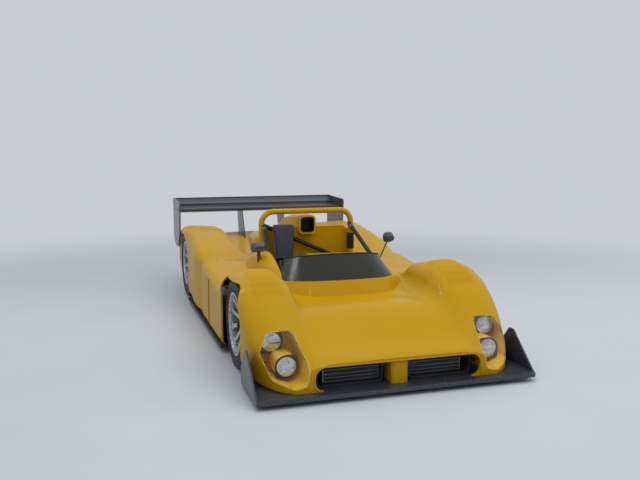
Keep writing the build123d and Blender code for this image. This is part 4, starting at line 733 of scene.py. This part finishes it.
# Hub of the steering wheel: six moulded red buttons round a plain steel boss, facing the driver. They are
# pressed into the face of the wheel and turn with it.
WHEEL_CENTRE = on_car(DRIVER_X, 0.770, 0.528)
wheel_axis = (WHEEL_CENTRE - on_car(DRIVER_X, 0.300, 0.395)).normalized()
hub_place = facing(WHEEL_CENTRE + wheel_axis * 0.013, wheel_axis)
BUTTON = [(0.0065, -0.001), (0.0065, 0.004), (0.0050, 0.0065), (0.0001, 0.0070)]
buttons = [turned(BUTTON, hub_place @ Matrix.Translation((x, y, 0)), 18) for x, y in ring_of(0.026, 6)]
piece("wheel_buttons", buttons, red_reflector, "steering")
BOSS = [(0.015, -0.001), (0.015, 0.004), (0.012, 0.006), (0.0001, 0.006)]
piece("wheel_boss", [turned(BOSS, hub_place, 28)], steel, "steering")


# Seat pads: fire-proof cloth over foam, quilted in channels 55 mm wide and laid in the shell of the seat.
# Each pad is crowned between its seams and thin at its edges. The threads of the cloth are 0.4 mm apart;
# they are drawn 1.1 mm apart so that they still show.
def cushion(name, starts, line, thickness):
    """A quilted pad laid on the seat where rows of lines meet it."""
    rings = []
    for row, line_starts in enumerate(starts):
        front, back = [], []
        for step, start in enumerate(line_starts):
            spot, _ = laid_on(seat_tree, start, line)
            edge = min(1.0, min(row, len(starts) - 1 - row) / 3, min(step, PAD_COLUMNS - 1 - step) / 2)
            quilt = 0.62 + 0.38 * abs(sin(pi * PAD_CHANNELS * step / (PAD_COLUMNS - 1)))
            front.append(spot - line * (0.002 + thickness * (0.25 + 0.75 * sin(edge * pi / 2)) * quilt))
            back.append(spot - line * 0.0015)
        rings.append(front + back[::-1])
    points, faces = skin(rings, capped=False)
    around = 2 * PAD_COLUMNS
    faces += [(low + step, low + step + 1, low + around - 2 - step, low + around - 1 - step)
              for low in (0, len(points) - around) for step in range(PAD_COLUMNS - 1)]
    made = piece(name, [(points, faces)], pad_cloth)
    smooth = made.modifiers.new("smooth", "SUBSURF")
    smooth.levels = smooth.render_levels = 1


WEAVE_WAVES = 1 / 0.0036
pad_cloth, tree, spot = new_finish("grey_blue_fireproof_cloth")
threads = [add_node(tree, "ShaderNodeTexWave", {"bands_direction": axis},
                    {"Vector": spot, "Scale": WEAVE_WAVES, "Distortion": 0.6}) for axis in ("X", "Z")]
weave = add_node(tree, "ShaderNodeMath", {"operation": "MAXIMUM"},
                 {0: threads[0].outputs["Fac"], 1: threads[1].outputs["Fac"]})
tone, _ = clouded(tree, spot, 14.0, 6.0, ("#3B3B4A", "#4A4A5B"))
relief = add_node(tree, "ShaderNodeBump", {},
                  {"Height": weave.outputs[0], "Strength": 0.5, "Distance": 0.0005})
shaded(tree, {
    "Base Color": tone, "Roughness": 0.88, "Sheen Weight": 0.25, "Normal": relief.outputs[0]})
seat_tree = solid_tree("seat")
SEAT_HALF = 0.165
PAD_COLUMNS = 25
PAD_CHANNELS = 6
SQUAB_Y = 0.74
SQUAB_LENGTH = 0.25
BACK_PAD_Z = 0.20
BACK_PAD_HEIGHT = 0.33
columns = [DRIVER_X + SEAT_HALF * (2 * step / (PAD_COLUMNS - 1) - 1) for step in range(PAD_COLUMNS)]
squab_rows = [[on_car(x, SQUAB_Y + SQUAB_LENGTH * row / 12, 0.7) for x in columns] for row in range(13)]
cushion("seat_squab", squab_rows, DOWN, 0.030)
back_rows = [[on_car(x, 0.80, BACK_PAD_Z + BACK_PAD_HEIGHT * row / 14) for x in columns]
             for row in range(15)]
cushion("seat_back_pad", back_rows, REARWARD, 0.032)

# Headrest: one block of stiff foam in the same cloth, wider at its top and held on the bar behind it,
# with black piping sewn along both edges of its front.
HEADREST_LOW = 0.6015
HEADREST_HIGH = 0.9035
HEADREST_X = -0.239
HEADREST_SQUARE = 0.32
HEADREST_LEAN = 0.036
HEADREST_LEVELS = [
    # share of the height, half width, share of the full depth
    (0.0, 0.068, 0.86), (0.02, 0.074, 0.97), (0.10, 0.077, 1.0), (0.35, 0.083, 1.0), (0.65, 0.090, 1.0),
    (0.90, 0.095, 1.0), (0.975, 0.093, 0.97), (1.0, 0.086, 0.86)]
head_low, head_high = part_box("headrest")
rings, piping = [], []
for share, half, fullness in HEADREST_LEVELS:
    front = head_low.y + 0.0015 + HEADREST_LEAN * share
    back = head_high.y - 0.001
    middle, depth = (front + back) / 2, (back - front) / 2 * fullness
    ring = []
    for x, y in ring_of(1.0, 40):
        across = abs(x) ** HEADREST_SQUARE * (1 if x > 0 else -1)
        along = abs(y) ** HEADREST_SQUARE * (1 if y > 0 else -1) * (0.93 + 0.07 * abs(x))
        ring.append(Vector((HEADREST_X + half * across, middle + depth * along,
                            HEADREST_LOW + share * (HEADREST_HIGH - HEADREST_LOW))))
    rings.append(ring)
headrest_pad = piece("headrest_pad", [skin(rings)], pad_cloth)
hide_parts("headrest")
for edge in (-1, 1):
    path = [Vector((HEADREST_X + edge * (half - 0.004), head_low.y + 0.0045 + HEADREST_LEAN * share,
                    HEADREST_LOW + 0.004 + share * (HEADREST_HIGH - HEADREST_LOW - 0.008)))
            for share, half, _ in HEADREST_LEVELS[1:-1]]
    piping.append(swept(path, ring_of(0.0022, 8), [-REARWARD] * len(path)))
piece("headrest_piping", piping, black_enamel)

# Harness: two shoulder straps of dark woven webbing, 48 mm wide, and a lap belt 34 mm wide, meeting in a
# turned steel buckle on the squab.
webbing = grained("dark_blue_webbing", ("#15182B", "#20253D"), 0.0016, (0.75, 0.9), 0.0005,
                  {"Sheen Weight": 0.3})
WEB = [(-0.024, -0.0014), (0.024, -0.0014), (0.024, 0.0014), (-0.024, 0.0014)]
LAP_SHARE = 0.7
straps = []
for side in (-1, 1):
    starts = [on_car(DRIVER_X + side * (0.085 - 0.004 * step), 0.76, 0.545 - 0.034 * step)
              for step in range(10)]
    path, ups = line_on(seat_tree, starts, REARWARD, 0.038)
    straps.append(swept(path, WEB, ups))
    starts = [on_car(DRIVER_X + side * (0.030 + 0.019 * step), 0.90 + 0.004 * step, 0.7)
              for step in range(7)]
    path, ups = line_on(seat_tree, starts, DOWN, 0.040)
    straps.append(swept(path, [(across * LAP_SHARE, up) for across, up in WEB], ups))
piece("harness_straps", straps, webbing)
spot, normal = laid_on(seat_tree, on_car(DRIVER_X, 0.90, 0.7), DOWN)
BUCKLE = [(0.030, -0.006), (0.031, 0.004), (0.027, 0.009), (0.014, 0.010), (0.012, 0.014),
          (0.0001, 0.014)]
piece("harness_buckle", [turned(BUCKLE, facing(spot + normal * 0.044, normal), 32)], steel)

# Roll hoop: steel tube 52 mm across, painted with the body, with a weld collar at each foot and a black
# foam sleeve on its left leg. Each stay is held by two clamped steel collars.
HOOP_LEG_X = 0.429
HOOP_Y = 1.300
HOOP_RADIUS = 0.026
foam_sleeve = grained("black_foam_sleeve", ("#131314", "#1F1F21"), 0.005, (0.75, 0.9), 0.0008)
sleeve_place = Matrix.Translation(on_car(HOOP_LEG_X, HOOP_Y, 0.0))
SLEEVE = [(HOOP_RADIUS - 0.002, 0.652), (HOOP_RADIUS + 0.007, 0.656), (HOOP_RADIUS + 0.008, 0.730),
          (HOOP_RADIUS + 0.007, 0.800), (HOOP_RADIUS - 0.002, 0.804)]
piece("hoop_sleeve", [turned(SLEEVE, sleeve_place, 28)], foam_sleeve)
WELD_COLLAR = [(HOOP_RADIUS - 0.002, 0.588), (HOOP_RADIUS + 0.003, 0.5885), (HOOP_RADIUS + 0.003, 0.6),
               (HOOP_RADIUS + 0.0005, 0.604), (HOOP_RADIUS - 0.002, 0.604)]
feet = [turned(WELD_COLLAR, Matrix.Translation(on_car(side * HOOP_LEG_X, HOOP_Y, 0.0)), 28)
        for side in (-1, 1)]
piece("hoop_weld_collars", feet, yellow_paint)
COLLAR_PLACES = (0.055, 0.575)
STAY_COLLAR = [(0.0188, -0.016), (0.0215, -0.014), (0.0215, 0.014), (0.0188, 0.016)]
collars = []
for side in (-1, 1):
    upper, lower = on_car(side * 0.412, 1.292, 0.894), on_car(side * 0.484, 0.765, 0.590)
    stay = (lower - upper).normalized()
    collars += [turned(STAY_COLLAR, facing(upper + stay * distance, stay), 24)
                for distance in COLLAR_PLACES]
piece("stay_collars", collars, steel)

# Mirrors: silvered glass 2 mm thick with rounded corners, bonded in the open rear of each pod, whose
# black rim shows all round it.
silver = grained("silvered_mirror_glass", ("#C9CED2", "#D9DDE0"), 0.05, (0.01, 0.03), 0.00001,
                 {"Metallic": 1.0})
GLASS_SHARE = 0.86
MIRROR_PODS = [
    # x, z, width, height
    (-0.574, 0.768, 0.132, 0.082), (0.604, 0.811, 0.100, 0.092)]


def squared(half, corner, steps=48):
    """The points of a square with rounded corners, one for each turn of a line from its middle."""
    points = []
    for step in range(steps):
        turn = 2 * pi * step / steps
        x, y = cos(turn), sin(turn)
        reach = half / max(abs(x), abs(y))
        centre = half - corner
        if abs(x) * reach > centre and abs(y) * reach > centre:
            lean = centre * (abs(x) + abs(y))
            reach = lean + (lean ** 2 - 2 * centre ** 2 + corner ** 2) ** 0.5
        points.append((x * reach, y * reach))
    return points


mirror_tree = solid_tree("mirrors")
glasses = []
for x, z, width, height in MIRROR_PODS:
    spot, _ = laid_on(mirror_tree, on_car(x, 1.0, z), -REARWARD)
    flat = [(across * width / 2 * GLASS_SHARE, up * height / 2 * GLASS_SHARE)
            for across, up in squared(1.0, 0.45)]
    glasses.append(plate(facing(spot, REARWARD), flat, (-0.001, 0.0008)))
piece("mirror_glass", glasses, silver)

# Air intake: a sleeve of black laminate lines the mouth and ends in a wire gauze over a foam filter; its
# lip is left yellow. The wires are 2 mm apart; they are drawn 8.5 mm apart so that they still show.
MOUTH_HALF = 0.0655
MOUTH_Z = 0.891
MOUTH_HALF_HEIGHT = 0.0715
MOUTH_Y = 1.276
GAUZE_PITCH = 0.0085
WIRE_HALF = 0.0005


def mouth_ring(shrink, y):
    """The outline of the intake's mouth, made smaller by that much, at a place along the car."""
    return [on_car(a * (MOUTH_HALF - shrink), y, MOUTH_Z + b * (MOUTH_HALF_HEIGHT - shrink))
            for a, b in squared(1.0, 0.46, 40)]


liner = skin([mouth_ring(shrink, MOUTH_Y + depth) for shrink, depth in (
    (0.0005, 0.004), (0.003, 0.006), (0.004, 0.10), (0.0005, 0.10))], looped=True)
piece("intake_liner", [liner], bare_laminate)
gauze = []
for step in range(-7, 8):
    reach = GAUZE_PITCH * step
    gauze.append(bar(on_car(reach - WIRE_HALF, MOUTH_Y + 0.094, MOUTH_Z - 0.066),
                     on_car(reach + WIRE_HALF, MOUTH_Y + 0.095, MOUTH_Z + 0.066)))
    gauze.append(bar(on_car(-0.060, MOUTH_Y + 0.0945, MOUTH_Z + reach - WIRE_HALF),
                     on_car(0.060, MOUTH_Y + 0.0955, MOUTH_Z + reach + WIRE_HALF)))
piece("intake_gauze", gauze, black_enamel)
filter_pad = skin([mouth_ring(0.002, MOUTH_Y + depth) for depth in (0.10, 0.104)])
piece("intake_filter", [filter_pad], foam_sleeve)

# Tyres and wheels: slick racing covers of soft black rubber, scuffed grey, with two moulded ribs on the
# outer wall. The wheels are cast spokes bolted between spun rim halves and sprayed silver, each held by one
# lobed nut of anodised alloy, with a valve inside its ring of bolts.
rubber = grained("slick_tyre_rubber", ("#121314", "#222325"), 0.025, (0.5, 0.75), 0.0008)
silver_paint = grained("sprayed_silver_wheel", ("#A3A7AD", "#B9BDC2"), 0.03, (0.28, 0.4), 0.0002,
                       {"Metallic": 0.75, "Coat Weight": 0.3})
RIB_DEPTHS = (0.045, 0.062)
RIB = [(-0.0018, -0.001), (0.0018, -0.001), (0.0010, 0.0008), (-0.0010, 0.0008)]
BOLT_REACH = 0.213
RIM_BOLT = [(0.0001, 0.0046), (0.0034, 0.0046), (0.0042, 0.0036), (0.0042, 0.0006), (0.0058, 0.0006),
            (0.0058, -0.001)]
VALVE_TURN = 0.2
VALVE_REACH = 0.199
VALVE = [(0.0045, -0.002), (0.0045, 0.008), (0.0028, 0.010), (0.0028, 0.026), (0.0036, 0.027),
         (0.0036, 0.034)]
NUT_LEVELS = [
    # share of the nut's outline, height
    (1.05, -0.001), (1.05, 0.004), (0.92, 0.006), (0.86, 0.019), (0.70, 0.022), (0.45, 0.022),
    (0.42, 0.012), (0.01, 0.012)]
NUT_RADIUS = 0.030
NUT_LOBE = 0.004
nut_outline = []
for step in range(48):
    turn = 2 * pi * step / 48
    reach = NUT_RADIUS + NUT_LOBE * cos(6 * turn)
    nut_outline.append((reach * cos(turn), reach * sin(turn)))
anodised = grained("blue_black_anodised_nut", ("#2A2D33", "#3C4048"), 0.01, (0.25, 0.4), 0.0002,
                   {"Metallic": 1.0})
WHEELS = (("front_left", 0.325), ("front_right", 0.325), ("rear_left", 0.355), ("rear_right", 0.355))
for word, radius in WHEELS:
    hub = joint_place[f"{word}_wheel_spin"]
    inward = Vector((-1 if hub.x > 0 else 1, 0, 0))
    beside = hub - inward * 0.4
    body = f"{word}_wheel"
    dress(rubber, f"{word}_tyre")
    dress(silver_paint, f"{word}_rim")
    tyre_tree = solid_tree(f"{word}_tyre")
    rim_tree = solid_tree(f"{word}_rim")
    ribs = []
    for depth in RIB_DEPTHS:
        starts = [beside + Vector((0, y, z)) for y, z in ring_of(radius - depth, 96)]
        path, ups = line_on(tyre_tree, starts, inward)
        ribs.append(swept(path, RIB, ups, looped=True))
    piece(f"{word}_tyre_ribs", ribs, rubber, body)
    bolt_starts = [beside + Vector((0, y, z)) for y, z in ring_of(BOLT_REACH, 30)]
    bolts = set_on(rim_tree, bolt_starts, inward, RIM_BOLT, 12)
    valve_start = beside + Vector((0, cos(VALVE_TURN), sin(VALVE_TURN))) * VALVE_REACH
    bolts += set_on(rim_tree, [valve_start], inward, VALVE, 14)
    piece(f"{word}_rim_bolts", bolts, zinc, body)
    spot, _ = laid_on(rim_tree, beside, inward)
    nut_place = facing(spot, -inward)
    nut = skin([[nut_place @ Vector((x * share, y * share, height)) for x, y in nut_outline]
                for share, height in NUT_LEVELS])
    piece(f"{word}_centre_nut", [nut], anodised, body)

# Tail lamps: a black moulded ring round each lens and three ribs on it, and a rain light of small red
# domes in a moulded box at the middle of the tail.
TAIL_LAMPS = [(0.640, 0.520), (0.760, 0.520)]
TAIL_LAMP_FACE = 3.386
LAMP_RING = [(0.0475, -0.006), (0.0475, 0.001), (0.0455, 0.004), (0.0425, 0.004), (0.0415, 0.0005)]
LENS_RIBS = [[(radius - 0.0015, -0.0005), (radius, 0.0012), (radius + 0.0015, -0.0005)]
             for radius in (0.010, 0.020, 0.030)]
tail_rings, tail_ribs = [], []
for side in (-1, 1):
    for x, z in TAIL_LAMPS:
        place = facing(on_car(side * x, TAIL_LAMP_FACE, z), REARWARD)
        tail_rings.append(turned(LAMP_RING, place, 40, looped=True))
        tail_ribs += [turned(rib, place, 40, looped=True) for rib in LENS_RIBS]
piece("tail_lamp_rings", tail_rings, bezel_plastic)
piece("tail_lamp_ribs", tail_ribs, red_lens)
tail_tree = solid_tree("tail_clip")
LIGHT_DOME = [(0.0052, 0.0), (0.0048, 0.0022), (0.0030, 0.0040), (0.0001, 0.0046)]
DOME_PITCH = 0.0125
spot, _ = laid_on(tail_tree, on_car(0.0, 3.8, 0.505), -REARWARD)
light_box = bar(spot + Vector((-0.066, -0.001, -0.034)), spot + Vector((0.066, 0.012, 0.034)))
piece("rain_light_box", [light_box], bezel_plastic)
dome_spots = [spot + Vector((DOME_PITCH * column, 0.012, DOME_PITCH * row))
              for column in range(-4, 5) for row in range(-2, 3)]
domes = [turned(LIGHT_DOME, facing(dome_spot, REARWARD), 14) for dome_spot in dome_spots]
piece("rain_light_domes", domes, red_lens)

# Rear wing: cap screws through the endplates into both elements, and a bare carbon strip along the
# trailing edge of the flap.
WING_SCREWS = [(3.14, 0.892), (3.26, 0.897), (3.38, 0.893), (3.47, 0.938), (3.56, 0.968)]
wing_tree = solid_tree("wing_endplates")
wing_caps = []
for side in (-1, 1):
    starts = [on_car(side * 1.2, y, z) for y, z in WING_SCREWS]
    wing_caps += set_on(wing_tree, starts, Vector((-side, 0, 0)), CAP_SCREW)
piece("wing_screws", wing_caps, steel)
flap_low, flap_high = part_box("wing_flap")
strip_low = Vector((flap_low.x + 0.004, flap_high.y - 0.010, flap_high.z - 0.006))
strip_high = Vector((flap_high.x - 0.004, flap_high.y - 0.006, flap_high.z + 0.004))
piece("flap_edge_strip", [bar(strip_low, strip_high)], carbon)

# Exhaust tips: the end of each pipe is rolled over into a round bead 80 mm across, tinted by heat like
# the rest of it.
EXHAUST_X = 0.262
EXHAUST_Z = 0.500
EXHAUST_END = 3.410
BEAD = [(0.0385, -0.010), (0.0402, -0.004), (0.0385, 0.0), (0.0360, -0.002), (0.0360, -0.010)]
tips = [turned(BEAD, facing(on_car(side * EXHAUST_X, EXHAUST_END, EXHAUST_Z), REARWARD), 36, looped=True)
        for side in (-1, 1)]
piece("exhaust_beads", tips, bell_metal)
